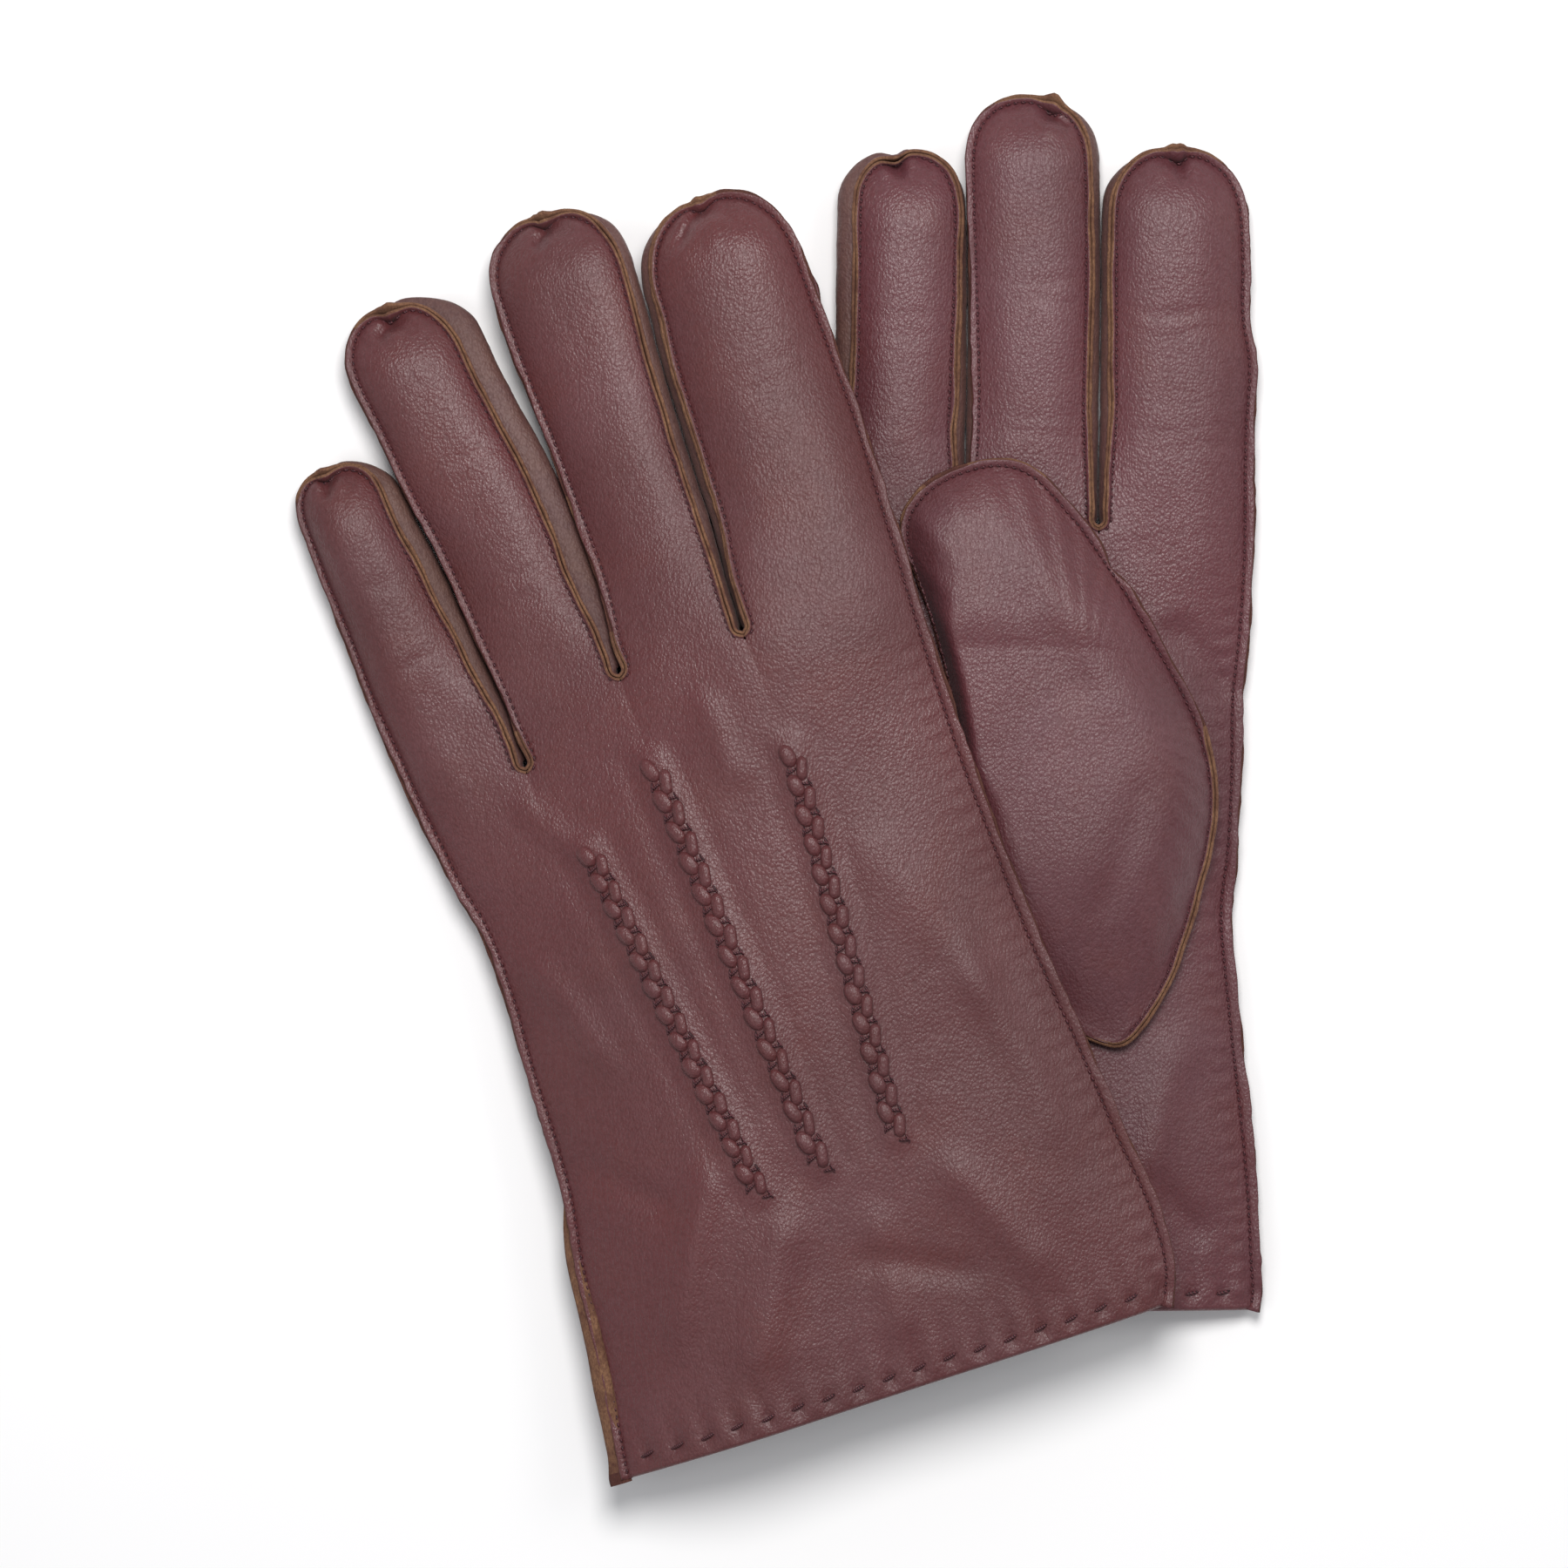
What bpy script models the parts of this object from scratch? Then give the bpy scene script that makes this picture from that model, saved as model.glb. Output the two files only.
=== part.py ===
"""A pair of gentlemen's leather dress gloves, laid flat: the left glove, back up, rests across the right glove, palm up.

Each glove is made as a glover makes it: a back panel and a palm panel, four fingers, forked side strips
(fourchettes) between the fingers, a thumb over a hole in the palm, and a knitted lining. Lengths are in
millimetres in this script and become metres in each mesh. A glove has its own plan: "across" runs from the
little finger's side to the index finger's side, and "along" runs from the cuff to the fingertips.
"""

import math

import bmesh
import bpy

MM = 0.001

# Leather, lining and the gap that touching pieces keep.
LEATHER = 1.0
LINING = 0.6
GAP = 0.3

# Heights above what the glove lies on.
EDGE_HEIGHT = 3.0  # middle of a sewn edge
HAND_HEIGHT = 10.0
FINGER_HEIGHT = 10.8
CUFF_HEIGHT = 8.8
EDGE_TOP = EDGE_HEIGHT + GAP / 2 + LEATHER
EDGE_BOTTOM = EDGE_HEIGHT - GAP / 2 - LEATHER

# The hand's rows, from the cuff to the finger roots.
HAND_ROWS = (0, 12, 34, 54, 72, 90, 108, 124, 141, 152)
LITTLE_CROTCH = 141
CROTCH = 152
CUFF_HALF_WIDTH = 57.0
FINGER_CELLS = 4  # cells across one finger's strip
TIP_SHARE = 0.97  # how far round its tip a finger's edge goes before the short flat end

# The glove's two outer edges in the hand, as (along, across).
LITTLE_SIDE = ((0, -57.5), (45, -55.5), (92, -52.6), (125, -55.5), (152, -59.2), (170, -60.8))
INDEX_SIDE = ((0, 57.0), (30, 56.6), (85, 51.2), (120, 51.6), (152, 52.6), (170, 53.2))

# The thumb, folded over the palm: its sewn edge as (along, across), and its folded edge as a straight line.
THUMB_SEWN_EDGE = ((52, 26), (60, 35), (73, 41), (88, 45.4), (102, 47), (114, 45.2), (127, 39.6), (142, 30.6), (158, 20))
THUMB_FOLD_TOP = (156, -15.9)
THUMB_FOLD_SLOPE = -0.384
THUMB_LOW, THUMB_HINGE, THUMB_TIP = 54, 112, 170.5
THUMB_HEIGHT = 9.2
FLAT_THUMB_HEIGHT = 5.0  # a thumb that lies under its own glove
THUMB_HOLE = (72, 108)  # the palm's hole under the thumb, along
HOLE_CELLS = {2: (3,), 3: (0, 1)}  # and its cells across, by finger strip
THUMB_CELLS = 5
THUMB_ROOT_ROWS = (THUMB_LOW, 63, 76, 94, THUMB_HINGE - GAP)
THUMB_TIP_ROWS = (THUMB_HINGE + GAP, 128, 143, 153, 160, 166, THUMB_TIP)

# Decorative points on the back, as the two ends (across, along) of each raised row.
POINTS = (((-27, 123), (-15.4, 46)), ((-9.5, 136), (-2.2, 47)), ((17.8, 130), (13.8, 48)))
POINT_WIDTH, POINT_HEIGHT = 3.6, 1.2
THREAD_WIDTH, THREAD_HEIGHT = 0.8, 0.5
THREAD_INSET = 2.2
SURFACE_CLEARANCE = 0.6  # between a coarse panel and what lies on it

# How the left glove drapes over the right one: its height over the table, across the pair.
DRAPE_START, DRAPE_END = -72.4, 2.6
DRAPE_OVER_HAND, DRAPE_OVER_FINGERS = 16.9, 11.8
DRAPE_HAND_END, DRAPE_FINGER_START = 145.0, 200.0

COLOURS = {
    "leather": ((0.17, 0.055, 0.06, 1), 0.45),
    "raw_leather": ((0.24, 0.13, 0.06, 1), 0.8),
    "lining": ((0.30, 0.17, 0.13, 1), 0.95),
    "thread": ((0.10, 0.03, 0.045, 1), 0.6),
}

# Each finger: where its edges stand at the root and near the tip (across), its tip (along) and its crotches (along).
# A hinge is where the finger folds up; None is a finger that the other glove holds down.
LEFT = {
    "name": "left",
    "centre": (25.0, -120.2),
    "turn": 18.15,
    "palm_up": False,
    "drapes": True,
    "fingers": (
        {"name": "little", "tip_left": -63.2, "tip_right": -43.2, "tip": 211, "hinge": 146},
        {"name": "ring", "tip_left": -43.8, "tip_right": -20.0, "tip": 237.5, "hinge": 158},
        {"name": "middle", "tip_left": -10.6, "tip_right": 16.6, "tip": 245.5, "hinge": 158},
        {"name": "index", "tip_left": 19.2, "tip_right": 51.6, "tip": 238, "hinge": 158},
    ),
    "crotches": (-34.2, -9.6, 16.0),
}
RIGHT = {
    "name": "right",
    "centre": (40.6, -105.4),
    "turn": 0.0,
    "palm_up": True,
    "drapes": False,
    "fingers": (
        {"name": "little", "tip_left": -53.0, "tip_right": -32.6, "tip": 211, "hinge": None},
        {"name": "ring", "tip_left": -29.2, "tip_right": -5.0, "tip": 233.5, "hinge": 196},
        {"name": "middle", "tip_left": -3.0, "tip_right": 21.6, "tip": 243.5, "hinge": 177},
        {"name": "index", "tip_left": 24.4, "tip_right": 54.4, "tip": 232.5, "hinge": 160},
    ),
    "crotches": (-33.0, -3.8, 23.0),
}


# ---------------------------------------------------------------- small mathematics


def mix(a, b, t):
    return a + (b - a) * t


def ease(t):
    """0 to 1, level at both ends."""
    t = min(1.0, max(0.0, t))
    return t * t * (3 - 2 * t)


def through(points, x):
    """A smooth curve through (x, y) points, level-free at its ends (Catmull-Rom)."""
    last = len(points) - 2
    i = next((k for k in range(last + 1) if x <= points[k + 1][0]), last)
    (x0, y0), (x1, y1) = points[i], points[i + 1]
    before = points[max(0, i - 1)]
    after = points[min(last + 1, i + 2)]
    slope0 = (y1 - before[1]) / (x1 - before[0])
    slope1 = (after[1] - y0) / (after[0] - x0)
    t = (x - x0) / (x1 - x0)
    span = x1 - x0
    return (
        (2 * t**3 - 3 * t**2 + 1) * y0
        + (t**3 - 2 * t**2 + t) * span * slope0
        + (3 * t**2 - 2 * t**3) * y1
        + (t**3 - t**2) * span * slope1
    )


# ---------------------------------------------------------------- plan of one glove


def crotch_of(boundary):
    return LITTLE_CROTCH if boundary == 0 else CROTCH


def boundary_at(glove, boundary, along):
    """Where the line between two fingers runs in the hand."""
    cuff = CUFF_HALF_WIDTH * (-0.5 + 0.5 * boundary)
    return mix(cuff, glove["crotches"][boundary], along / crotch_of(boundary))


def tip_round(finger, along):
    """1 along the finger, falling round its tip."""
    half = (finger["tip_right"] - finger["tip_left"]) / 2
    x = TIP_SHARE * max(0.0, 1 - (finger["tip"] - along) / (1.15 * half))
    return (1 - x**2.4) ** (1 / 2.4)


def side_edge(glove, k, side, along):
    """The finger strip's edge (across) on side -1 or 1, from the cuff to the tip."""
    finger = glove["fingers"][k]
    boundary = k - 1 if side < 0 else k
    tip_edge = finger["tip_left"] if side < 0 else finger["tip_right"]
    outer = boundary < 0 or boundary > 2
    if outer:
        outline = LITTLE_SIDE if side < 0 else INDEX_SIDE
        start = 160.0
        if along <= start:
            return through(outline, along)
        root = through(outline, start)
    else:
        start = crotch_of(boundary)
        if along <= start:
            return boundary_at(glove, boundary, along)
        slit = 1.5 * math.sqrt(min(1.0, (along - start) / 5.0))
        root = glove["crotches"][boundary] + side * -slit
    t = (along - start) / (finger["tip"] - start)
    edge = mix(root, tip_edge, t**1.3)
    centre = (finger["tip_left"] + finger["tip_right"]) / 2
    return mix(centre, edge, tip_round(finger, along))


def has_fourchette(k, side):
    return not (k == 0 and side < 0) and not (k == 3 and side > 0)


def across_at(glove, k, u, along):
    return mix(side_edge(glove, k, -1, along), side_edge(glove, k, 1, along), (u + 1) / 2)


def hand_height(across, along):
    """The hand's top surface where it isn't divided into fingers."""
    left = through(LITTLE_SIDE, min(along, 170))
    right = through(INDEX_SIDE, min(along, 170))
    u = min(1.0, abs(2 * (across - left) / (right - left) - 1))
    height = mix(CUFF_HEIGHT, HAND_HEIGHT, ease(along / 45))
    return EDGE_TOP + (height - EDGE_TOP) * (1 - u**5) ** 0.7


def seam_height(k, side, share):
    """The top panel's height along a finger's edge; share is 0 at the root and 1 at the tip."""
    if not has_fourchette(k, side):
        return EDGE_TOP
    return mix(HAND_HEIGHT - 0.6, 7.4, ease(share / 0.35))


def finger_height(glove, k, u, along):
    finger = glove["fingers"][k]
    share = (along - CROTCH) / (finger["tip"] - CROTCH)
    side = -1 if u < 0 else 1
    seam = seam_height(k, side, share)
    middle = mix(HAND_HEIGHT, FINGER_HEIGHT, ease(share / 0.3))
    height = seam + (middle - seam) * (1 - abs(u) ** 2.4) ** 0.75
    end = max(0.0, 1 - (finger["tip"] - along) / 16.0)
    return mix(height, EDGE_TOP, end**2.4)


def top_at(glove, k, u, along):
    """The glove's upper outer surface."""
    across = across_at(glove, k, u, along)
    crotch = mix(crotch_of(max(0, k - 1)), crotch_of(min(2, k)), (u + 1) / 2)
    divided = ease((along - crotch + 28) / 34)
    return mix(hand_height(across, along), finger_height(glove, k, u, along), divided)


def panel_at(height_at, glove, k, u, along):
    """A height on the panel's own facets, between its columns."""
    cell = min(FINGER_CELLS - 1, int((u + 1) / 2 * FINGER_CELLS))
    low, high = (-1 + 2 * i / FINGER_CELLS for i in (cell, cell + 1))
    heights = (height_at(glove, k, low, along), height_at(glove, k, high, along))
    return mix(*heights, (u - low) / (high - low))


def bottom_at(glove, k, u, along):
    """The glove's lower outer surface: flat, and lifted only along sewn edges and at the fingertips."""
    finger = glove["fingers"][k]
    side = -1 if u < 0 else 1
    lift = 0.0 if has_fourchette(k, side) else EDGE_BOTTOM * abs(u) ** 8
    end = max(0.0, 1 - (finger["tip"] - along) / 9.0)
    return mix(lift, EDGE_BOTTOM, end**2)


def drape(x, y):
    """How high the left glove is carried at a place in the pair's plan."""
    angle = math.radians(LEFT["turn"])
    along = -(x - LEFT["centre"][0]) * math.sin(angle) + (y - LEFT["centre"][1]) * math.cos(angle)
    over = ease((along - DRAPE_HAND_END) / (DRAPE_FINGER_START - DRAPE_HAND_END))
    height = mix(DRAPE_OVER_HAND, DRAPE_OVER_FINGERS, over)
    return height * ease((x - DRAPE_START) / (DRAPE_END - DRAPE_START))


def place(glove, across, along, height):
    """A point of the glove's plan, in the pair's frame, in metres."""
    angle = math.radians(glove["turn"])
    x = glove["centre"][0] + across * math.cos(angle) - along * math.sin(angle)
    y = glove["centre"][1] + across * math.sin(angle) + along * math.cos(angle)
    lifted = height + (drape(x, y) if glove["drapes"] else 0.0)
    return (x * MM, y * MM, lifted * MM)


# ---------------------------------------------------------------- meshes


def material(name):
    found = bpy.data.materials.get(name)
    if found:
        return found
    colour, roughness = COLOURS[name]
    made = bpy.data.materials.new(name)
    made.use_nodes = True
    shader = made.node_tree.nodes["Principled BSDF"]
    shader.inputs["Base Color"].default_value = colour
    shader.inputs["Roughness"].default_value = roughness
    shader.inputs["Metallic"].default_value = 0.0
    return made


def sheet_solid(name, outer, inner, faces, finish):
    """A closed solid from a sheet's outer and inner points, which share the faces; free edges get a rim."""
    mesh = bpy.data.meshes.new(name)
    count = len(outer)
    solid = [tuple(f) for f in faces] + [tuple(count + i for i in reversed(f)) for f in faces]
    sides = {}
    for face in faces:
        for start, end in zip(face, face[1:] + face[:1]):
            sides[(start, end)] = True
    for start, end in sides:
        if (end, start) not in sides:
            solid.append((end, start, count + start, count + end))
    mesh.from_pydata(list(outer) + list(inner), [], solid)
    shape = bmesh.new()
    shape.from_mesh(mesh)
    bmesh.ops.triangulate(shape, faces=shape.faces[:])
    bmesh.ops.recalc_face_normals(shape, faces=shape.faces[:])
    shape.to_mesh(mesh)
    shape.free()
    mesh.materials.append(material(finish))
    obj = bpy.data.objects.new(name, mesh)
    bpy.context.collection.objects.link(obj)
    return obj


class Sheet:
    """Collects a sheet's points by their place in the plan, so that neighbouring strips share them."""

    def __init__(self):
        self.outer, self.inner, self.faces, self.known = [], [], [], {}

    def point(self, outer, inner, layer=""):
        key = (layer, round(outer[0], 6), round(outer[1], 6), round(outer[2], 6))
        if key not in self.known:
            self.known[key] = len(self.outer)
            self.outer.append(outer)
            self.inner.append(inner)
        return self.known[key]

    def face(self, *corners):
        self.faces.append(tuple(corners))

    def solid(self, name, finish):
        return sheet_solid(name, self.outer, self.inner, self.faces, finish)


def stations(cells):
    return [-1 + 2 * i / cells for i in range(cells + 1)]


def add_strip(sheet, glove, k, rows, upper, skip=lambda row, cell: False):
    """One finger's strip of a panel, over the given rows."""

    def corner(u, along):
        across = across_at(glove, k, u, along)
        if upper:
            height = top_at(glove, k, u, along)
            inside = height - LEATHER
        else:
            height = bottom_at(glove, k, u, along)
            inside = height + LEATHER
        return sheet.point(place(glove, across, along, height), place(glove, across, along, inside))

    grid = [[corner(u, along) for u in stations(FINGER_CELLS)] for along in rows]
    for i in range(len(rows) - 1):
        for j in range(FINGER_CELLS):
            if not skip(rows[i], j):
                sheet.face(grid[i][j], grid[i][j + 1], grid[i + 1][j + 1], grid[i + 1][j])


def finger_rows(finger, start):
    """Rows from the start to the fingertip, closer together round the tip."""
    length = finger["tip"] - start
    round_part = 15.0
    straight = [start + (length - round_part) * t for t in (0.0, 0.3, 0.65, 1.0)]
    return straight + [finger["tip"] - round_part * t for t in (0.5, 0.2, 0.0)]


def hand_rows(glove, k):
    """The rows of a strip that belong to the hand: up to the hinge, or up to the tip where there is none."""
    finger = glove["fingers"][k]
    rows = list(HAND_ROWS)
    if finger["hinge"] is None:
        return rows + finger_rows(finger, CROTCH)[1:]
    rows = [r for r in rows if r < finger["hinge"] - 4]
    end = finger["hinge"] - GAP
    if end - rows[-1] > 24:
        rows.append((rows[-1] + end) / 2)
    return rows + [end]


def in_thumb_hole(k, row, cell):
    return THUMB_HOLE[0] <= row < THUMB_HOLE[1] and cell in HOLE_CELLS.get(k, ())


def build_hand(glove):
    """The back and palm panels of the hand, in one piece across the four finger strips."""
    for face_name, upper in (("palm", glove["palm_up"]), ("back", not glove["palm_up"])):
        sheet = Sheet()
        for k in range(4):
            holed = face_name == "palm"
            add_strip(
                sheet,
                glove,
                k,
                hand_rows(glove, k),
                upper,
                lambda row, cell, k=k, holed=holed: holed and in_thumb_hole(k, row, cell),
            )
        sheet.solid(f"{glove['name']}_hand_{face_name}", "leather")


def build_fingers(glove):
    """The folding part of each finger: its back and palm strips."""
    for k, finger in enumerate(glove["fingers"]):
        if finger["hinge"] is None:
            continue
        rows = finger_rows(finger, finger["hinge"] + GAP)
        for face_name, upper in (("palm", glove["palm_up"]), ("back", not glove["palm_up"])):
            sheet = Sheet()
            add_strip(sheet, glove, k, rows, upper)
            sheet.solid(f"{glove['name']}_{finger['name']}_{face_name}", "leather")


# ---------------------------------------------------------------- fourchettes

WALL_INSET = 1.3  # from the panel's edge to the fourchette
WALL = 0.8
WALL_GAP = 0.4


def wall_section(glove, k, side, along):
    """The fourchette's outer and inner lines at one place: (across outside, across inside, low, high)."""
    edge = side_edge(glove, k, side, along)
    high = panel_at(top_at, glove, k, side * 0.98, along) - LEATHER - WALL_GAP
    low = bottom_at(glove, k, side, along) + LEATHER + WALL_GAP
    return edge - side * WALL_INSET, edge - side * (WALL_INSET + WALL), low, high


def wall_rows(finger, start):
    """The panel's own rows, as far as its panels stand apart."""
    return finger_rows(finger, start)[:-2]


def wall_points(glove, k, side, rows):
    """Pairs of (outer, inner) points, low and high, along one fourchette."""
    made = []
    for along in rows:
        outside, inside, low, high = wall_section(glove, k, side, along)
        high = max(high, low + 1.2)
        made.append(
            [(place(glove, outside, along, z), place(glove, inside, along, z)) for z in (low, high)]
        )
    return made


def wall_solid(name, columns):
    sheet = Sheet()
    grid = [[sheet.point(*pair) for pair in column] for column in columns]
    for first, second in zip(grid, grid[1:]):
        sheet.face(first[0], second[0], second[1], first[1])
    sheet.solid(name, "raw_leather")


def build_fourchettes(glove):
    """Side strips of the folding fingers, and, where a finger folds above its root, the forks below the folds."""
    name = glove["name"]
    fingers = glove["fingers"]
    for k, finger in enumerate(fingers):
        for side, word in ((-1, "outer"), (1, "inner")):
            if finger["hinge"] is None or not has_fourchette(k, side):
                continue
            rows = wall_rows(finger, finger["hinge"] + GAP)
            wall_solid(f"{name}_{finger['name']}_fourchette_{word}", wall_points(glove, k, side, rows))
    if glove["drapes"]:
        return
    for boundary in range(3):
        lower, upper = fingers[boundary], fingers[boundary + 1]
        first = fork_leg(glove, boundary, 1)
        second = fork_leg(glove, boundary + 1, -1)
        fork = f"{name}_fork_{lower['name']}_{upper['name']}"
        wall_solid(fork, list(reversed(first)) + fork_web(glove, boundary) + second)


def fork_leg(glove, k, side):
    finger = glove["fingers"][k]
    start = crotch_of(k if side > 0 else k - 1) + 2.0
    if finger["hinge"] is None:
        return wall_points(glove, k, side, wall_rows(finger, start))
    end = finger["hinge"] - GAP
    steps = 2 if end - start > 20 else 1
    return wall_points(glove, k, side, [mix(start, end, i / steps) for i in range(steps + 1)])


def fork_web(glove, boundary):
    """The fork's bend under the crotch, as one column of points on the boundary."""
    along = crotch_of(boundary) - 1.6
    across = boundary_at(glove, boundary, along)
    high = top_at(glove, boundary, 1, along) - LEATHER - GAP
    low = LEATHER + GAP
    return [
        [
            (place(glove, across, along, z), place(glove, across, along - WALL, z))
            for z in (low, high)
        ]
    ]


# ---------------------------------------------------------------- thumb


def thumb_edges(along):
    """The thumb's folded and sewn edges (across)."""
    fold = THUMB_FOLD_TOP[1] + (along - THUMB_FOLD_TOP[0]) * THUMB_FOLD_SLOPE
    sewn = through(THUMB_SEWN_EDGE, min(along, 158))
    if along > 150:
        centre, half = 2.1, 18.0
        x = TIP_SHARE * max(0.0, 1 - (THUMB_TIP - along) / 20.5)
        rounding = (1 - x**2.3) ** (1 / 2.3)
        fold = max(fold, centre - half * rounding)
        sewn = min(sewn, centre + half * rounding)
    return fold, sewn


def thumb_profile(glove, u, along):
    """The thumb's height over the palm, at u across it."""
    full = THUMB_HEIGHT if glove["palm_up"] else FLAT_THUMB_HEIGHT
    edge = LEATHER * 2 + GAP
    end = max(0.0, 1 - (THUMB_TIP - along) / 18.0)
    root = max(0.0, 1 - (along - THUMB_LOW) / 30.0)
    height = full * (1 - end**2.2) * (1 - root**2)
    return edge + max(0.0, height - edge) * (1 - abs(u) ** 3) ** 0.8


def thumb_point(glove, u, along, height):
    """A point at a height over the palm, outwards from it."""
    fold, sewn = thumb_edges(along)
    across = mix(fold, sewn, (u + 1) / 2)
    if glove["palm_up"]:
        rest = max(hand_height(across, along), FINGER_HEIGHT * ease((along - 96) / 44))
        return place(glove, across, along, rest + GAP + height)
    return place(glove, across, along, -GAP - height)


def thumb_sheet(glove, name, rows, far):
    """One side of the thumb: far from the palm, or against it."""
    sheet = Sheet()

    def corner(u, along):
        if far:
            height = thumb_profile(glove, u, along)
            return sheet.point(
                thumb_point(glove, u, along, height), thumb_point(glove, u, along, height - LEATHER)
            )
        return sheet.point(thumb_point(glove, u, along, 0.0), thumb_point(glove, u, along, LEATHER))

    grid = [[corner(u, along) for u in stations(THUMB_CELLS)] for along in rows]
    for i in range(len(rows) - 1):
        for j in range(THUMB_CELLS):
            sheet.face(grid[i][j], grid[i][j + 1], grid[i + 1][j + 1], grid[i + 1][j])
    sheet.solid(f"{glove['name']}_thumb_{name}", "leather")


def build_thumb(glove):
    thumb_sheet(glove, "root", THUMB_ROOT_ROWS, True)
    thumb_sheet(glove, "front", THUMB_TIP_ROWS, True)
    thumb_sheet(glove, "back", THUMB_TIP_ROWS, False)


# ---------------------------------------------------------------- lining

SEWN_SIDE_INSET = 5.0  # of the lining, where a finger's panels meet without a fourchette


def closed_section(columns, thickness, point):
    """Pairs of (outer, inner) points round a lining, from the columns across it; point(u, side, inwards) places one."""
    last = len(columns) - 1
    inner = [u + thickness * ((n == 0) - (n == last)) for n, u in enumerate(columns)]
    low = [(point(u, "low", 0.0), point(v, "low", LINING)) for u, v in zip(columns, inner)]
    high = [(point(u, "high", 0.0), point(v, "high", LINING)) for u, v in zip(columns, inner)]
    return low + high[::-1]


def finger_lining_ring(glove, k, along, capped):
    """One section; at the closed end its inner points stand back by the lining's thickness."""
    half = (side_edge(glove, k, 1, along) - side_edge(glove, k, -1, along)) / 2
    left, right = (
        WALL_INSET + WALL + GAP if has_fourchette(k, side) else SEWN_SIDE_INSET for side in (-1, 1)
    )
    columns = [-1 + left / half] + stations(FINGER_CELLS)[1:-1] + [1 - right / half]

    def point(u, side, inwards):
        if side == "high":
            height = panel_at(top_at, glove, k, u, along) - LEATHER - 2 * GAP - inwards
        else:
            height = panel_at(bottom_at, glove, k, u, along) + LEATHER + GAP + inwards
        return place(glove, across_at(glove, k, u, along), along - capped * inwards, height)

    return closed_section(columns, LINING / half, point)


def tube_solid(name, rings, closed_end, skip=lambda i, j: False):
    """A lining tube from rings of (outer, inner) points, closed at its last ring if asked."""
    sheet = Sheet()
    grid = [[sheet.point(*pair, layer=str(n)) for n, pair in enumerate(ring)] for ring in rings]
    count = len(grid[0])
    for i in range(len(grid) - 1):
        for j in range(count):
            if not skip(i, j):
                n = (j + 1) % count
                sheet.face(grid[i][j], grid[i][n], grid[i + 1][n], grid[i + 1][j])
    if closed_end:
        half = count // 2
        last = grid[-1]
        for j in range(half - 1):
            sheet.face(last[j], last[j + 1], last[count - 2 - j], last[count - 1 - j])
    sheet.solid(name, "lining")


def build_finger_linings(glove):
    for k, finger in enumerate(glove["fingers"]):
        start = CROTCH if finger["hinge"] is None else finger["hinge"] + GAP
        rows = finger_rows(finger, start)[:4]
        rings = [finger_lining_ring(glove, k, along, along == rows[-1]) for along in rows]
        tube_solid(f"{glove['name']}_{finger['name']}_lining", rings, True)


HAND_LINING_ROWS = (12, 34, 54, 72, 90, 108, 124, 137)


def hand_columns():
    """Every column of the hand as (finger strip, cell edge), from the little finger's side."""
    columns = [(k, i) for k in range(4) for i in range(FINGER_CELLS + (k == 3))]
    return columns[1:-1]


def build_hand_lining(glove):
    """The lining of the hand, on the panels' own columns, with the thumb's hole on the palm side."""
    columns = hand_columns()
    count = len(columns)
    rings = []
    for along in HAND_LINING_ROWS:
        low, high = [], []
        for n, (k, i) in enumerate(columns):
            across = across_at(glove, k, stations(FINGER_CELLS)[i], along)
            inner = across + LINING * ((n == 0) - (n == count - 1))
            bottom = LEATHER + GAP
            top = top_at(glove, k, stations(FINGER_CELLS)[i], along) - LEATHER - GAP
            low.append((place(glove, across, along, bottom), place(glove, inner, along, bottom + LINING)))
            high.append((place(glove, across, along, top), place(glove, inner, along, top - LINING)))
        rings.append(low + high[::-1])

    def skip(i, j):
        upper = j >= count
        n = 2 * count - 2 - j if upper else j
        if n < 0 or n >= count - 1 or upper != glove["palm_up"]:
            return False
        k, cell = columns[n]
        return in_thumb_hole(k, HAND_LINING_ROWS[i], cell)

    tube_solid(f"{glove['name']}_hand_lining", rings, False, skip)


def build_thumb_lining(glove):
    """A thin lining tube in the thumb, beyond the hinge."""
    columns = stations(THUMB_CELLS)[1:-1]
    wall = 1.0 if glove["palm_up"] else 0.5

    def ring(along, capped):
        def point(u, side, inwards):
            if side == "high":
                height = thumb_profile(glove, u, along) - LEATHER - GAP - inwards * wall
            else:
                height = LEATHER + GAP + inwards * wall
            return thumb_point(glove, u, along - capped * inwards, height)

        return closed_section(columns, 0.04, point)

    rows = THUMB_TIP_ROWS[:4]
    rings = [ring(along, along == rows[-1]) for along in rows]
    tube_solid(f"{glove['name']}_thumb_lining", rings, True)


# ---------------------------------------------------------------- points and threads


def surface_height(glove, across, along):
    """The upper outer surface at any place of the glove's plan."""
    for k in range(4):
        left = side_edge(glove, k, -1, along)
        right = side_edge(glove, k, 1, along)
        if across <= right or k == 3:
            u = max(-1.0, min(1.0, 2 * (across - left) / (right - left) - 1))
            return top_at(glove, k, u, along)


def surface_strip(name, glove, path, width, height, finish):
    """A thin strip that lies on the upper surface along a path of (across, along) points."""
    sheet = Sheet()
    grid = []
    for n, (across, along) in enumerate(path):
        before, after = path[max(0, n - 1)], path[min(len(path) - 1, n + 1)]
        dx, dy = after[0] - before[0], after[1] - before[1]
        size = math.hypot(dx, dy)
        nx, ny = dy / size * width / 2, -dx / size * width / 2
        row = []
        for side in (-1, 1):
            a, b = across + side * nx, along + side * ny
            z = surface_height(glove, a, b) + SURFACE_CLEARANCE
            row.append(sheet.point(place(glove, a, b, z + height), place(glove, a, b, z)))
        grid.append(row)
    for first, second in zip(grid, grid[1:]):
        sheet.face(first[0], first[1], second[1], second[0])
    sheet.solid(name, finish)


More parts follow.
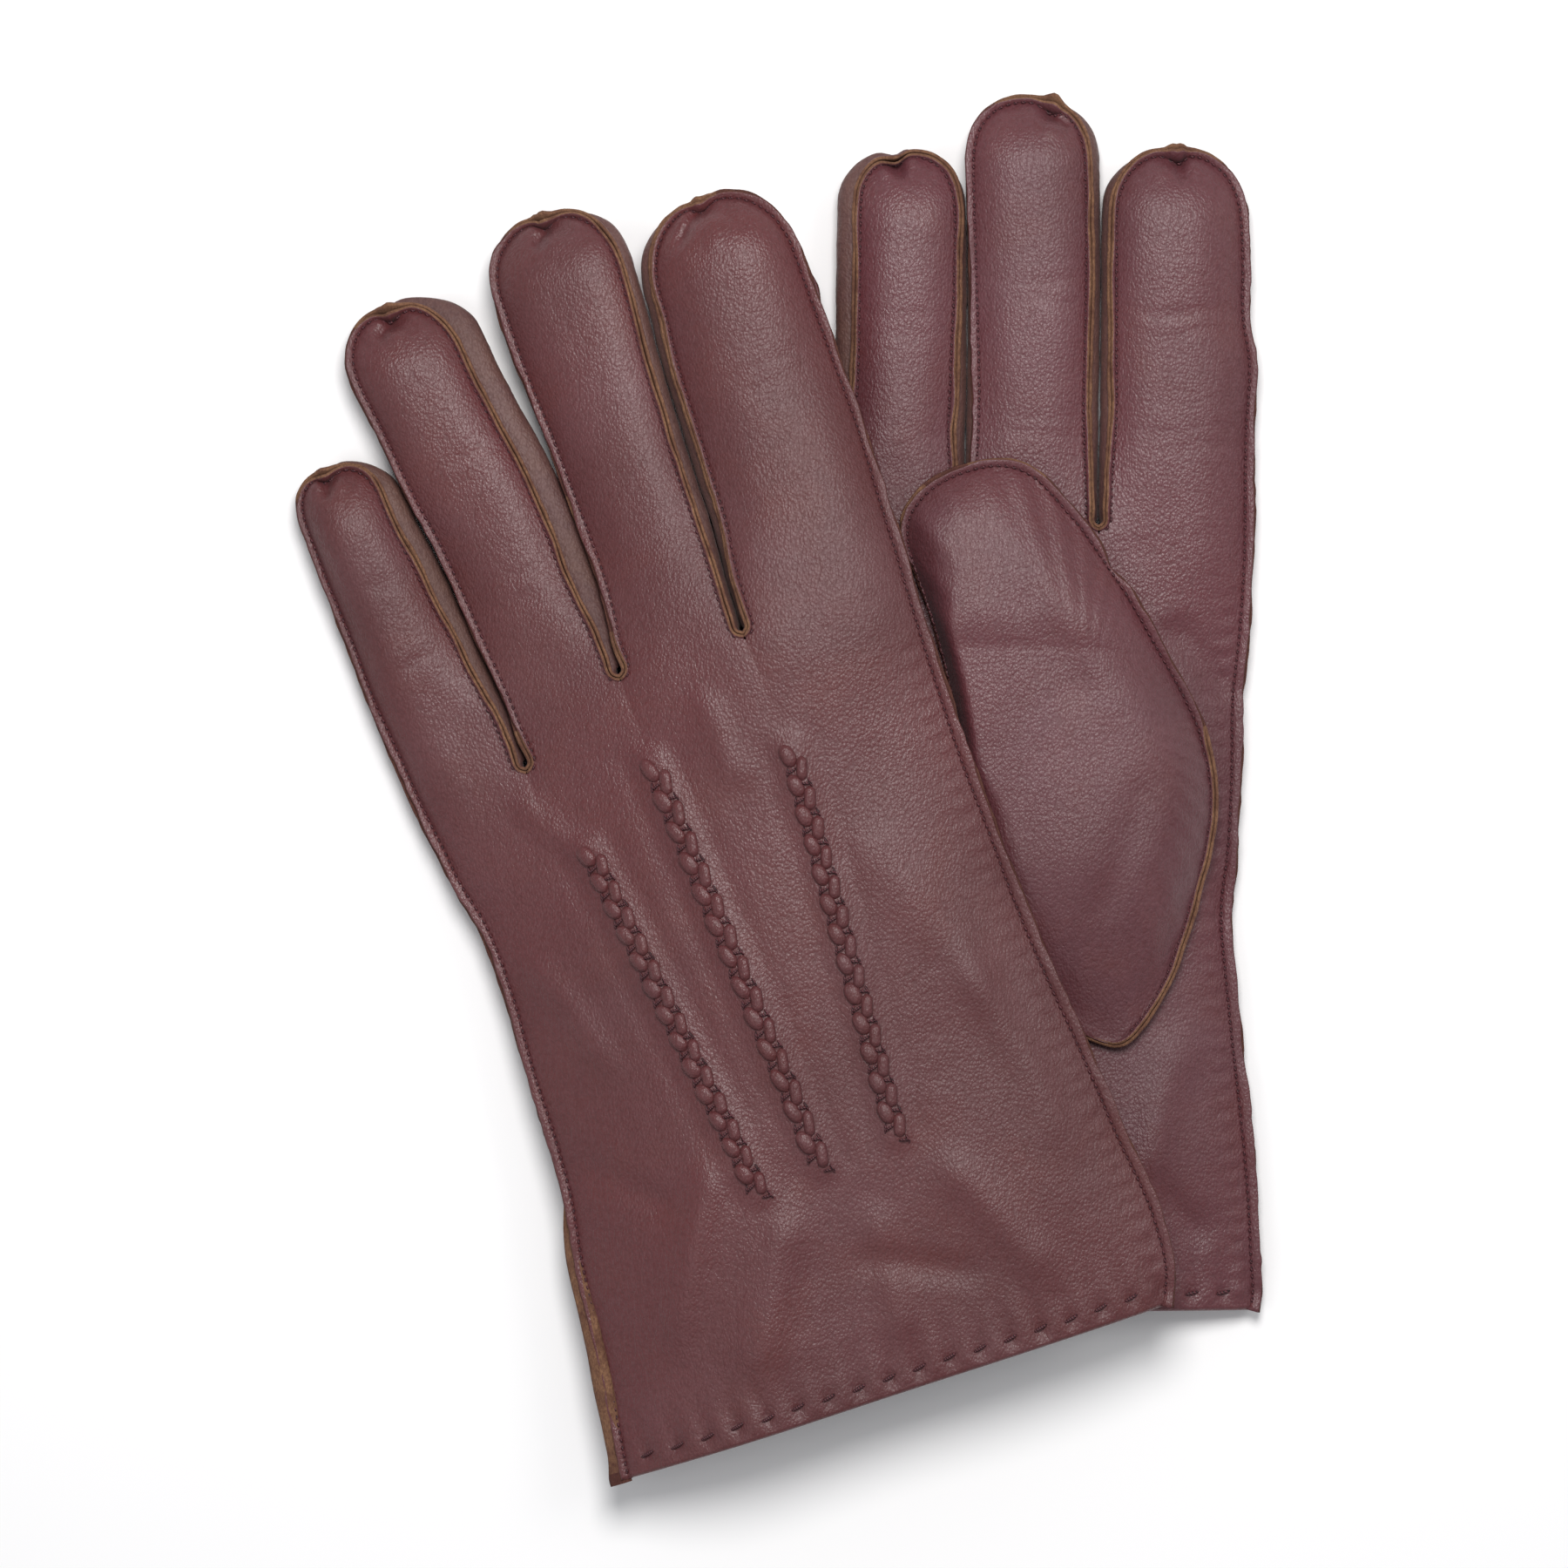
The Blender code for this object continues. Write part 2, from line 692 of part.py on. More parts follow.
def build_points(glove):
    for number, ((a0, b0), (a1, b1)) in enumerate(POINTS, 1):
        path = [(mix(a0, a1, t / 8), mix(b0, b1, t / 8)) for t in range(9)]
        surface_strip(f"{glove['name']}_point_{number}", glove, path, POINT_WIDTH, POINT_HEIGHT, "leather")


def build_threads(glove):
    """The hem's running stitch and the side seams' thread, lying on the upper face."""
    hem_inset, side_start, side_end, steps = 3.6, 6.0, 138.0, 10
    hem = [(mix(-52, 52, t / steps), hem_inset) for t in range(steps + 1)]
    surface_strip(f"{glove['name']}_hem_thread", glove, hem, THREAD_WIDTH, THREAD_HEIGHT, "thread")
    rows = [mix(side_start, side_end, t / steps) for t in range(steps + 1)]
    sides = [("index", INDEX_SIDE, -1)]
    if glove["drapes"]:
        sides.append(("little", LITTLE_SIDE, 1))
    for word, outline, inward in sides:
        path = [(through(outline, b) + inward * THREAD_INSET, b) for b in rows]
        name = f"{glove['name']}_{word}_side_thread"
        surface_strip(name, glove, path, THREAD_WIDTH, THREAD_HEIGHT, "thread")


def build_glove(glove):
    build_hand(glove)
    build_fingers(glove)
    build_fourchettes(glove)
    build_thumb(glove)
    build_hand_lining(glove)
    build_finger_linings(glove)
    build_thumb_lining(glove)
    build_threads(glove)
    if not glove["palm_up"]:
        build_points(glove)


def main():
    for obj in list(bpy.data.objects):
        bpy.data.objects.remove(obj)
    for glove in (LEFT, RIGHT):
        build_glove(glove)


main()
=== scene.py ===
"""The finished look of a pair of leather dress gloves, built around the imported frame.

Lengths are in millimetres until a mesh is made. A glove's plan has "across" (a), from the little finger's
side to the index finger's side, and "along" (b), from the cuff to the fingertips. A glove is four strips, one
for each finger and the hand below it. On a strip, u runs from -1 to 1 across it.
"""

import math

import bpy
import numpy as np
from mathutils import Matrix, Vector


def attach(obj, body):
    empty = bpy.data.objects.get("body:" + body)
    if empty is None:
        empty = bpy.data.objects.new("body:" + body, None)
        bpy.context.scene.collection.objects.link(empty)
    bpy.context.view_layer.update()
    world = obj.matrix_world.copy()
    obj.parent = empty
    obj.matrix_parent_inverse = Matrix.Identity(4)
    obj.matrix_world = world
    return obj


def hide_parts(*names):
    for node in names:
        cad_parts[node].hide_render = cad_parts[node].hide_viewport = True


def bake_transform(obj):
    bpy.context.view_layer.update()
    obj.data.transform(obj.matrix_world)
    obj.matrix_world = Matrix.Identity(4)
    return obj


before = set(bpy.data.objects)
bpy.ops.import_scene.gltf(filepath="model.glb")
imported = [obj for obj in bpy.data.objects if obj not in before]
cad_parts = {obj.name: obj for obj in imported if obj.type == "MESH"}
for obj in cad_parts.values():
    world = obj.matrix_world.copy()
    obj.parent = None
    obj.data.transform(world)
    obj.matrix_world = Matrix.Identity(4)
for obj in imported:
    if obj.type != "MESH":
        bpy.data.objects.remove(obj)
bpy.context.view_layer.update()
MM = 0.001


# ---------------------------------------------------------------- the gloves' plan

LITTLE, INDEX = 0, 3
FINGER_NAMES = ("little", "ring", "middle", "index")

# Crotches, where two fingers part, and edges are (along, across). Tips and hinges are places along.
LEFT = {
    "name": "left",
    "centre": (25.0, -120.2),
    "turn": math.radians(18.15),
    "drapes": True,
    "crotch": ((140.0, -33.8), (151.7, -10.2), (152.0, 15.8)),
    "tips": (211.0, 237.5, 245.2, 238.0),
    "hinges": (146.0, 158.0, 158.0, 158.0),
    "left_edges": (
        ((0, -60.1), (15, -58.2), (27, -57), (42, -55.8), (57, -53.6), (71, -53), (82, -53), (99, -52.3),
         (115, -53.3), (122, -55.1), (132, -56.6), (141, -57.9), (152, -59), (163, -60.3), (175, -60.8),
         (189, -61.8), (206, -62.5)),
        ((140, -33.8), (150, -34.3), (161, -34.8), (170, -35.7), (180, -36.7), (189, -37.8), (197, -39.3),
         (208, -40.9), (216, -41.9), (223, -43), (234, -43.6)),
        ((151.7, -10.2), (155, -8.6), (159, -7.9), (168, -8.2), (180, -8.7), (191, -9.2), (204, -9.8),
         (215, -10.6), (232, -10.9), (244, -11)),
        ((152, 15.8), (156, 17.1), (165, 17.3), (175, 17.8), (184, 17.9), (195, 18.1), (206.4, 18.3),
         (217.5, 19.1), (230, 19.6)),
    ),
    "right_edges": (
        ((140, -33.8), (146, -35.6), (153, -36.4), (162, -37.3), (169, -38.2), (177, -39.7), (186, -41),
         (194, -42.5), (206, -43.4)),
        ((151.7, -10.2), (157, -11.8), (165.5, -12.8), (177, -13.3), (188, -13.9), (198, -14.9),
         (208, -16.9), (219, -18.7), (232, -20)),
        ((152, 15.8), (157, 14.6), (167, 15.0), (178, 15.1), (188, 14.9), (199, 15.1), (210, 15.4),
         (221, 16.1), (240, 16.6)),
        ((0, 55.5), (5, 57.8), (17.4, 59.2), (34.7, 57.4), (53.3, 55.7), (74, 53.4), (86, 52.5), (100, 52),
         (116, 51.2), (130, 51.2), (143, 51.3), (157, 51.7), (169, 51.9), (185, 52.3), (198, 51.9),
         (210, 51.5), (222, 51.2)),
    ),
}
RIGHT = {
    "name": "right",
    "centre": (40.6, -105.4),
    "turn": 0.0,
    "drapes": False,
    "crotch": ((141.0, -33.0), (152.0, -4.0), (156.0, 22.8)),
    "tips": (211.0, 232.8, 243.2, 232.8),
    "hinges": (None, 196.0, 177.0, 160.0),
    "left_edges": (
        ((0, -57), (45, -55.2), (92, -52.6), (125, -55.2), (152, -58), (170, -56), (190, -54), (206, -53)),
        ((141, -33), (150, -31.5), (165, -29.8), (181, -27.6), (205, -26.9), (226, -26.6)),
        ((152, -4), (158, -3.3), (171, -2.9), (181, -2.6), (205, -3.1), (221, -3.6), (240, -3.8)),
        ((156, 22.8), (161, 23.9), (168, 24.2), (195, 24.4), (221, 24.4), (230, 24.4)),
    ),
    "right_edges": (
        ((141, -33), (150, -33.6), (165, -33.2), (185, -32.8), (206, -32.6)),
        ((152, -4), (160, -5.1), (171, -5.6), (188, -5.1), (205, -4.4), (215, -4.2), (226, -4.6)),
        ((156, 22.8), (162, 21.6), (175, 21.4), (201, 21.9), (215, 22), (240, 21.4)),
        ((0, 55.3), (3, 56), (8, 55.7), (22, 55), (36, 53.8), (55, 51.7), (66, 50.6), (79, 49.6), (93, 51),
         (108, 51.7), (123, 51.9), (135, 53.2), (148, 54.1), (175, 54.5), (191, 55.1), (197, 54.1),
         (211, 53.9), (224, 53.2)),
    ),
}

GLOVES = (LEFT, RIGHT)

# Where each fingertip's panels and side strips meet in a gather: (across, along), and how its crease runs.
GATHERS = {
    "left": (
        ((-53.5, 209.7), (-1.5, -6)),
        ((-31.3, 235.4), (-4.4, -5.2)),
        ((3.8, 243.4), (-4.2, -5.6)),
        ((34.6, 237.2), (-8.5, -9.0)),
    ),
    "right": (
        None,
        ((-18.2, 231.6), (2.0, -6.0)),
        ((13.1, 240.6), (5.0, -4.6)),
        ((38.3, 231.2), (1.5, -6.5)),
    ),
}

# Decorative points on the left back: the ends of each raised row, as (across, along).
POINTS = (((-27, 123.3), (-15.4, 45.3)), ((-9.5, 135.9), (-2.2, 46.5)), ((17.8, 129.7), (13.8, 47.7)))

# Long soft folds in the upper faces, from start to end as (across, along), with their width and height.
HAND_FOLDS = {
    "left": (
        ((-20, 60), (-44, 18), 4.0, 0.9),
        ((-8, 44), (-30, 8), 4.5, 0.8),
        ((6, 40), (2, 6), 3.5, 0.6),
        ((20, 46), (36, 8), 4.5, 0.8),
        ((38, 86), (46, 30), 3.6, 0.6),
        ((-46, 108), (-34, 74), 3.6, 0.6),
        ((26, 112), (42, 62), 5.0, 0.55),
        ((-50, 66), (-30, 46), 3.2, -0.6),
        ((-4, 30), (24, 16), 3.2, -0.5),
        ((-38, 138), (-26, 118), 3.0, 0.5),
        ((2, 146), (6, 122), 3.2, 0.5),
    ),
    "right": (
        ((40, 60), (30, 16), 4.5, 0.8),
        ((22, 40), (18, 6), 4.0, 0.7),
        ((44, 100), (52, 64), 3.0, -0.6),
        ((36, 140), (50, 120), 3.5, -0.7),
        ((30, 30), (46, 12), 3.0, -0.5),
    ),
}
FOLD_DEPTH = 1.5  # times the heights above

EDGE_TOP = 4.15  # the side seam's height at the cuff
HAND_HEIGHT, FINGER_HEIGHT, CUFF_HEIGHT = 10.0, 10.8, 8.8
FINGERS_FROM = 152.0  # along, about where the fingers leave the hand
DRAPE_START, DRAPE_END = -72.4, 2.6  # from left to right, where the upper glove climbs onto the lower one
DRAPE_OVER_HAND, DRAPE_OVER_FINGERS = 16.9, 11.8
ROUND_SHARE = 1.12  # of a finger's half width, how far from its tip the rounding starts
TIP_SQUARENESS = 2.35  # 2 is a round fingertip
WIDTH_AT = 12.0  # before the tip, where a finger's width is read
HAND_LIP = {-1: 1.9, 1: 2.3}  # from the stitch line to the cut edges, on each side
FINGER_LIP = {-1: 1.7, 1: 1.3}
TIP_LIP = 1.5
SLIT_HALF_WIDTH = 2.0  # between the stitch lines, where two fingers part
SLIT_WIDENS_OVER = 24.0
GATHER_PULL = 1.7
HEM_PITCH = 6.3
HEM_START = -53.0  # across, of the first hem stitch
HEM_LINE = 3.7  # along, of the hem stitches


def mix(a, b, t):
    return a + (b - a) * t


def ease(t):
    t = np.clip(t, 0.0, 1.0)
    return t * t * (3 - 2 * t)


class Curve:
    """A smooth curve y(x) through points, straight beyond its ends."""

    def __init__(self, points):
        self.x, self.y = (np.array(v, float) for v in zip(*points))
        self.slope = np.gradient(self.y, self.x)

    def __call__(self, x):
        x = np.asarray(x, float)
        i = np.clip(np.searchsorted(self.x, x) - 1, 0, len(self.x) - 2)
        span = self.x[i + 1] - self.x[i]
        t = np.clip((x - self.x[i]) / span, 0.0, 1.0)
        inside = (
            (2 * t**3 - 3 * t**2 + 1) * self.y[i]
            + (t**3 - 2 * t**2 + t) * span * self.slope[i]
            + (3 * t**2 - 2 * t**3) * self.y[i + 1]
            + (t**3 - t**2) * span * self.slope[i + 1]
        )
        below, above = np.minimum(x - self.x[0], 0), np.maximum(x - self.x[-1], 0)
        return inside + below * self.slope[0] + above * self.slope[-1]


class Noise:
    """Smooth value noise on a repeating lattice, from -1 to 1."""

    def __init__(self, seed, size=64):
        self.size = size
        self.values = np.random.RandomState(seed).uniform(-1, 1, (size, size))

    def __call__(self, x, y, scale):
        x, y = np.asarray(x) / scale, np.asarray(y) / scale
        i, j = np.floor(x).astype(int), np.floor(y).astype(int)
        s, t = ease(x - i), ease(y - j)

        def at(di, dj):
            return self.values[(i + di) % self.size, (j + dj) % self.size]

        return mix(mix(at(0, 0), at(1, 0), s), mix(at(0, 1), at(1, 1), s), t)


for _glove in GLOVES:
    _glove["left_curves"] = [Curve(p) for p in _glove["left_edges"]]
    _glove["right_curves"] = [Curve(p) for p in _glove["right_edges"]]
NOISE = {"left": Noise(11), "right": Noise(23)}


def crotch(glove, boundary):
    """(along, across) of the point where two fingers part."""
    return glove["crotch"][boundary]


def boundary_beside(k, side):
    """The boundary on one side of a finger, counted from the one beside the little finger."""
    return k - 1 if side < 0 else k


def open_side(k, side):
    """True where a finger's edge has a fourchette below it."""
    return not (k == LITTLE and side < 0) and not (k == INDEX and side > 0)


def boundary_line(glove, boundary, b):
    """The line between two finger strips in the hand, from the cuff to where they part."""
    at, a = crotch(glove, boundary)
    at_cuff = 57.0 * (-0.5 + 0.5 * boundary)
    return mix(at_cuff, a, np.clip(b / at, 0, 1))


def raw_edge(glove, k, side, b):
    """A finger strip's stitch line before its tip is rounded."""
    curve = glove["left_curves" if side < 0 else "right_curves"][k]
    if not open_side(k, side):
        return curve(b) - side * HAND_LIP[side]
    boundary = boundary_beside(k, side)
    at, a = crotch(glove, boundary)
    turn = np.clip((b - at) / SLIT_HALF_WIDTH, 0, 1)
    slit = SLIT_HALF_WIDTH * np.sqrt(np.clip(turn * (2 - turn), 0, 1))
    own = curve(np.maximum(b, at)) - side * FINGER_LIP[side]
    parted = mix(a - side * slit, own, ease((b - at - 1) / SLIT_WIDENS_OVER))
    return np.where(b <= at, boundary_line(glove, boundary, b), parted)


def tip_of(glove, k):
    """Where the stitch line passes over the fingertip."""
    return glove["tips"][k] - TIP_LIP


def tip_rounding(glove, k, b):
    """The share of a finger's width that is left towards its tip."""
    tip = tip_of(glove, k)
    half = (raw_edge(glove, k, 1, tip - WIDTH_AT) - raw_edge(glove, k, -1, tip - WIDTH_AT)) / 2
    x = np.clip(1 - (tip - b) / (ROUND_SHARE * half), 0, 1)
    return (1 - x**TIP_SQUARENESS) ** (1 / TIP_SQUARENESS)


def edge(glove, k, side, b):
    """A finger strip's stitch line."""
    left, right = raw_edge(glove, k, -1, b), raw_edge(glove, k, 1, b)
    middle = (left + right) / 2
    own = left if side < 0 else right
    return middle + (own - middle) * tip_rounding(glove, k, b)


def hand_sides(glove, b, inset=0.0):
    """The stitch lines down the glove's two sides."""
    return raw_edge(glove, LITTLE, -1, b) + inset, raw_edge(glove, INDEX, 1, b) - inset


def drape(glove, x, y):
    """How far the upper glove is lifted by the lower one."""
    if not glove["drapes"]:
        return np.zeros_like(np.asarray(x, float))
    cx, cy = LEFT["centre"]
    along = -(x - cx) * math.sin(LEFT["turn"]) + (y - cy) * math.cos(LEFT["turn"])
    height = mix(DRAPE_OVER_HAND, DRAPE_OVER_FINGERS, ease((along - 145.0) / 55.0))
    return height * ease((x - DRAPE_START) / (DRAPE_END - DRAPE_START))


def gathered(glove, a, b):
    """The plan pulled in towards each fingertip's gather."""
    for gather in GATHERS[glove["name"]]:
        if gather is None:
            continue
        (ga, gb), (da, _) = gather
        pull = GATHER_PULL * np.exp(-(((a - ga) / 2.1) ** 2 + ((b - gb) / 3.2) ** 2))
        a, b = a + 0.3 * pull * np.sign(da), b - pull
    return a, b


def place(glove, a, b, z):
    """Points (n, 3) in metres from the glove's own plan."""
    cx, cy = glove["centre"]
    c, s = math.cos(glove["turn"]), math.sin(glove["turn"])
    a, b, z = np.broadcast_arrays(*(np.asarray(v, float) for v in (a, b, z)))
    a, b = gathered(glove, a, b)
    x, y = cx + a * c - b * s, cy + a * s + b * c
    return np.stack([x, y, z + drape(glove, x, y)], axis=-1) * MM


def placed(glove, points):
    """Rows of points in metres, from an array (..., 3) of across, along and height."""
    return place(glove, points[..., 0], points[..., 1], points[..., 2]).reshape(-1, 3)


def side_seam_height(b):
    """The height of the seam down a glove's side."""
    return EDGE_TOP + 1.3 * ease((b - 40) / 90)


def hand_height(glove, a, b):
    """The hand's smooth upper surface, from seam to seam."""
    left, right = hand_sides(glove, np.minimum(b, 170))
    u = np.clip(np.abs(2 * (a - left) / (right - left) - 1), 0, 1)
    height = mix(CUFF_HEIGHT, HAND_HEIGHT, ease(b / 45))
    seam = side_seam_height(b)
    return seam + (height - seam) * (1 - u**4.5) ** 0.95


def seam_height(k, side, share):
    """The height of a finger's seam, at a share of the finger's length."""
    if not open_side(k, side):
        return side_seam_height(200.0) + 0 * share
    return mix(HAND_HEIGHT - 0.6, 7.4, ease(share / 0.35))


def finger_height(glove, k, u, b):
    """A finger's smooth upper surface."""
    tip = tip_of(glove, k)
    share = (b - FINGERS_FROM) / (tip - FINGERS_FROM)
    seam = np.where(u < 0, seam_height(k, -1, share), seam_height(k, 1, share))
    middle = mix(HAND_HEIGHT, FINGER_HEIGHT, ease(share / 0.3))
    height = seam + (middle - seam) * (1 - np.abs(np.clip(u, -1, 1)) ** 2.6) ** 0.95
    end = np.clip(1 - (tip - b) / 16.0, 0, 1)
    return mix(height, EDGE_TOP, end**2.4)


def smooth_top(glove, k, u, b):
    """The upper surface without its creases, at u from -1 to 1 across the strip."""
    left, right = edge(glove, k, -1, b), edge(glove, k, 1, b)
    a = mix(left, right, (u + 1) / 2)
    first, second = crotch(glove, max(0, k - 1))[0], crotch(glove, min(2, k))[0]
    divided = ease((b - mix(first, second, (u + 1) / 2) + 28) / 34)
    return mix(hand_height(glove, a, b), finger_height(glove, k, u, b), divided)


# ---------------------------------------------------------------- creases


def creases(glove, k, a, b, u):
    """Millimetres that the upper surface stands over its smooth shape."""
    noise = NOISE[glove["name"]]
    tip = tip_of(glove, k)
    in_finger = ease((b - 140) / 30)
    inside = np.clip(1 - np.abs(u) ** 6, 0, 1) * in_finger + (1 - in_finger)
    z = 0.75 * noise(a, b, 29.0) + 0.22 * noise(a + 90, b * 0.8, 12.0) + 0.06 * noise(a, b + 50, 4.3)
    # short cross creases where the fingers bend
    for n, at in enumerate((0.26, 0.3, 0.55, 0.6)):
        row = mix(FINGERS_FROM, tip, at) + 1.6 * noise(a, 10.0 * n + 7 * k, 9.0)
        z = z - 0.22 * in_finger * np.exp(-(((b - row) / 1.1) ** 2)) * (0.6 + 0.4 * noise(a, 31 * n + k, 7.0))
    # gathers round the fingertip
    middle = (edge(glove, k, -1, b) + edge(glove, k, 1, b)) / 2
    ahead = b - (tip - 13)
    angle = np.arctan2(a - middle, np.maximum(ahead, 0.5))
    near = ease((b - tip + 9) / 7)
    z = z + 0.2 * near * np.cos(angle * 13 + 2.5 * noise(a, b, 8.0)) * (1 - 0.5 * ease((b - tip + 1.5) / 1.5))
    gather = GATHERS[glove["name"]][k]
    if gather is not None:
        (ga, gb), (da, db) = gather
        z = z + fold_line(a, b, (ga - 0.3 * da, gb - 0.3 * db), (ga + da, gb + db), 1.0, -1.25, noise, 0.4)
        for turn, height in ((0.75, 0.4), (-0.75, 0.5), (1.5, -0.35)):
            cos, sin = math.cos(turn), math.sin(turn)
            ta, tb = da * cos - db * sin, da * sin + db * cos
            start, end = (ga - 0.2 * ta, gb - 0.2 * tb), (ga + ta, gb + tb)
            z = z + fold_line(a, b, start, end, 1.3, height, noise, 0.4)
    return (z + hand_folds(glove, a, b, noise)) * inside


def fold_line(a, b, start, end, width, height, noise, wander=1.5):
    """A soft ridge from start to end, as (across, along)."""
    (a0, b0), (a1, b1) = start, end
    length = math.hypot(a1 - a0, b1 - b0)
    da, db = (a1 - a0) / length, (b1 - b0) / length
    t = ((a - a0) * da + (b - b0) * db) / length
    off = (a - a0) * db - (b - b0) * da + wander * noise(a + 300, b + 200, 18.0)
    ends = ease(t / 0.25) * ease((1 - t) / 0.25)
    return height * ends * np.exp(-((off / width) ** 2))


def hem_puckers(a, b, noise):
    """Each hem stitch pulls a dimple, and ripples run up from it."""
    phase = 2 * math.pi * (a - HEM_START + 0.8 * noise(a * 0.3, b, 10.0) * ease((b - 4) / 4)) / HEM_PITCH
    fade = ease((15 - b) / 11.5) * ease((b - 0.6) / 2.0)
    dimple = 0.5 * np.exp(-(((b - HEM_LINE) / 1.1) ** 2)) * np.clip(np.cos(phase), 0, 1) ** 2
    return -fade * (0.3 * np.cos(phase) - 0.15 * noise(a, b * 0.3, 4.0)) - dimple


def side_puckers(a, b, left, right, noise):
    """Ripples that run in from the side seams."""
    z = 0.0
    for distance, pitch in ((a - left, 3.2), (right - a, 3.8)):
        fade = ease((6.5 - distance) / 5.5) * ease((distance - 0.6) / 1.2)
        z = z + 0.2 * fade * np.cos(2 * math.pi * b / pitch + 2 * noise(a, b, 9.0))
    return z


def point_ridges(a, b):
    """The low ridge below each row of points, with a valley on each side."""
    z = 0.0
    for (a0, b0), (a1, b1) in POINTS:
        t = (b - b1) / (b0 - b1)
        off = a - mix(a1, a0, t)
        on = ease((t + 0.04) / 0.06) * ease((1.04 - t) / 0.06)
        z = z + on * (0.75 * np.exp(-((off / 3.4) ** 2)) - 0.3 * np.exp(-(((np.abs(off) - 5.0) / 2.2) ** 2)))
    return z


def hand_folds(glove, a, b, noise):
    """Folds of the hand, puckers along its hem and sides, and the ridges below the points."""
    z = 0.0
    for start, end, width, height in HAND_FOLDS[glove["name"]]:
        z = z + FOLD_DEPTH * fold_line(a, b, start, end, width, height, noise)
    z = z + hem_puckers(a, b, noise)
    z = z + side_puckers(a, b, *hand_sides(glove, b), noise) * ease((150 - b) / 12)
    return z + point_ridges(a, b) if glove is LEFT else z


def top_surface(glove, k, u, b):
    """The upper surface with its creases."""
    a = mix(edge(glove, k, -1, b), edge(glove, k, 1, b), (u + 1) / 2)
    return smooth_top(glove, k, u, b) + creases(glove, k, a, b, u)


def bottom_surface(glove, k, u, b):
    """The lower surface: nearly flat, rising to the side seams and the fingertip, dimpled by the hem."""
    tip = tip_of(glove, k)
    lift = np.zeros_like(u * b)
    for side in (-1, 1):
        if not open_side(k, side):
            lift = np.where(u * side > 0, (side_seam_height(b) - 2.3) * np.abs(u) ** 8, lift)
    a = mix(edge(glove, k, -1, b), edge(glove, k, 1, b), (u + 1) / 2)
    noise = NOISE[glove["name"]]
    lift = np.maximum(lift, 0.16 * (1.0 + noise(a + 60, b, 26.0)) + 0.05 * (1.0 + noise(a, b + 20, 8.0)))
    phase = 2 * math.pi * (a - HEM_START) / HEM_PITCH
    lift = lift + 0.4 * np.exp(-(((b - HEM_LINE) / 1.3) ** 2)) * np.clip(np.cos(phase), 0, 1) ** 2
    end = np.clip(1 - (tip - b) / 9.0, 0, 1)
    return mix(lift, 1.85, end**2)


def strip_at(glove, a, b):
    """The strip and u of a place in the plan (scalars)."""
    for k in range(4):
        left, right = float(edge(glove, k, -1, b)), float(edge(glove, k, 1, b))
        if a <= right or k == INDEX:
            return k, max(-1.0, min(1.0, 2 * (a - left) / (right - left) - 1))


def height_at(surface, glove, a, b):
    """The height of top_surface or bottom_surface at a place in the plan (scalars)."""
    k, u = strip_at(glove, a, b)
    return float(surface(glove, k, np.float64(u), np.float64(b)))


# ---------------------------------------------------------------- meshes

HINGE_REACH = 9.0  # each way along a finger that its bend is spread


def body_frame(glove):
    return f"{glove['name']}_glove"


def hinge_span(glove, k):
    """The two points, in metres, that a finger's bend runs between."""
    at = glove["hinges"][k]
    middle = float(edge(glove, k, -1, at) + edge(glove, k, 1, at)) / 2
    return tuple(tuple(place(glove, middle, at + s * HINGE_REACH, 5.0)) for s in (-1, 1))


def follow(obj, glove, k=None):
    """Rides on the hand, or, for a finger with a hinge, has its transform baked into its mesh."""
    if k is None or glove["hinges"][k] is None:
        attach(obj, body_frame(glove))
    else:
        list(hinge_span(glove, k))
        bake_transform(obj)


def make_object(name, points, faces, materials, face_materials=None, normals=None):
    """A smooth mesh object from points in metres."""
    mesh = bpy.data.meshes.new(name)
    mesh.from_pydata(np.asarray(points).tolist(), [], [tuple(int(i) for i in f) for f in faces])
    for m in materials:
        mesh.materials.append(m)
    if face_materials is not None:
        mesh.polygons.foreach_set("material_index", np.asarray(face_materials, np.int32))
    mesh.polygons.foreach_set("use_smooth", np.ones(len(mesh.polygons), bool))
    mesh.update()
    if normals is not None:
        mesh.normals_split_custom_set_from_vertices(np.asarray(normals).tolist())
    obj = bpy.data.objects.new(name, mesh)
    bpy.context.scene.collection.objects.link(obj)
    return obj


def ring_strip(rings, closed=True, flip=False):
    """Quads between the rows of an array of n by m points, and each quad's column."""
    n, m = rings.shape[:2]
    columns = m if closed else m - 1
    i, j = np.meshgrid(np.arange(n - 1), np.arange(columns), indexing="ij")
    a, b = i * m + j, i * m + (j + 1) % m
    quads = np.stack([a, b, b + m, a + m], axis=-1).reshape(-1, 4)
    return (quads[:, ::-1] if flip else quads), np.tile(np.arange(columns), n - 1)


def vertex_normals(points, faces):
    """Area-weighted normals of quads."""
    p = points[faces]
    cross = np.cross(p[:, 2] - p[:, 0], p[:, 3] - p[:, 1])
    normals = np.zeros_like(points)
    for corner in range(faces.shape[1]):
        np.add.at(normals, faces[:, corner], cross)
    length = np.linalg.norm(normals, axis=1, keepdims=True)
    return normals / np.maximum(length, 1e-12)


def weld(points, faces, within):
    """Joins points that lie in the same place."""
    keys = np.round(points / within).astype(np.int64)
    _, first, index = np.unique(keys, axis=0, return_index=True, return_inverse=True)
    return points[first], index.reshape(-1)[faces]


# ---------------------------------------------------------------- materials


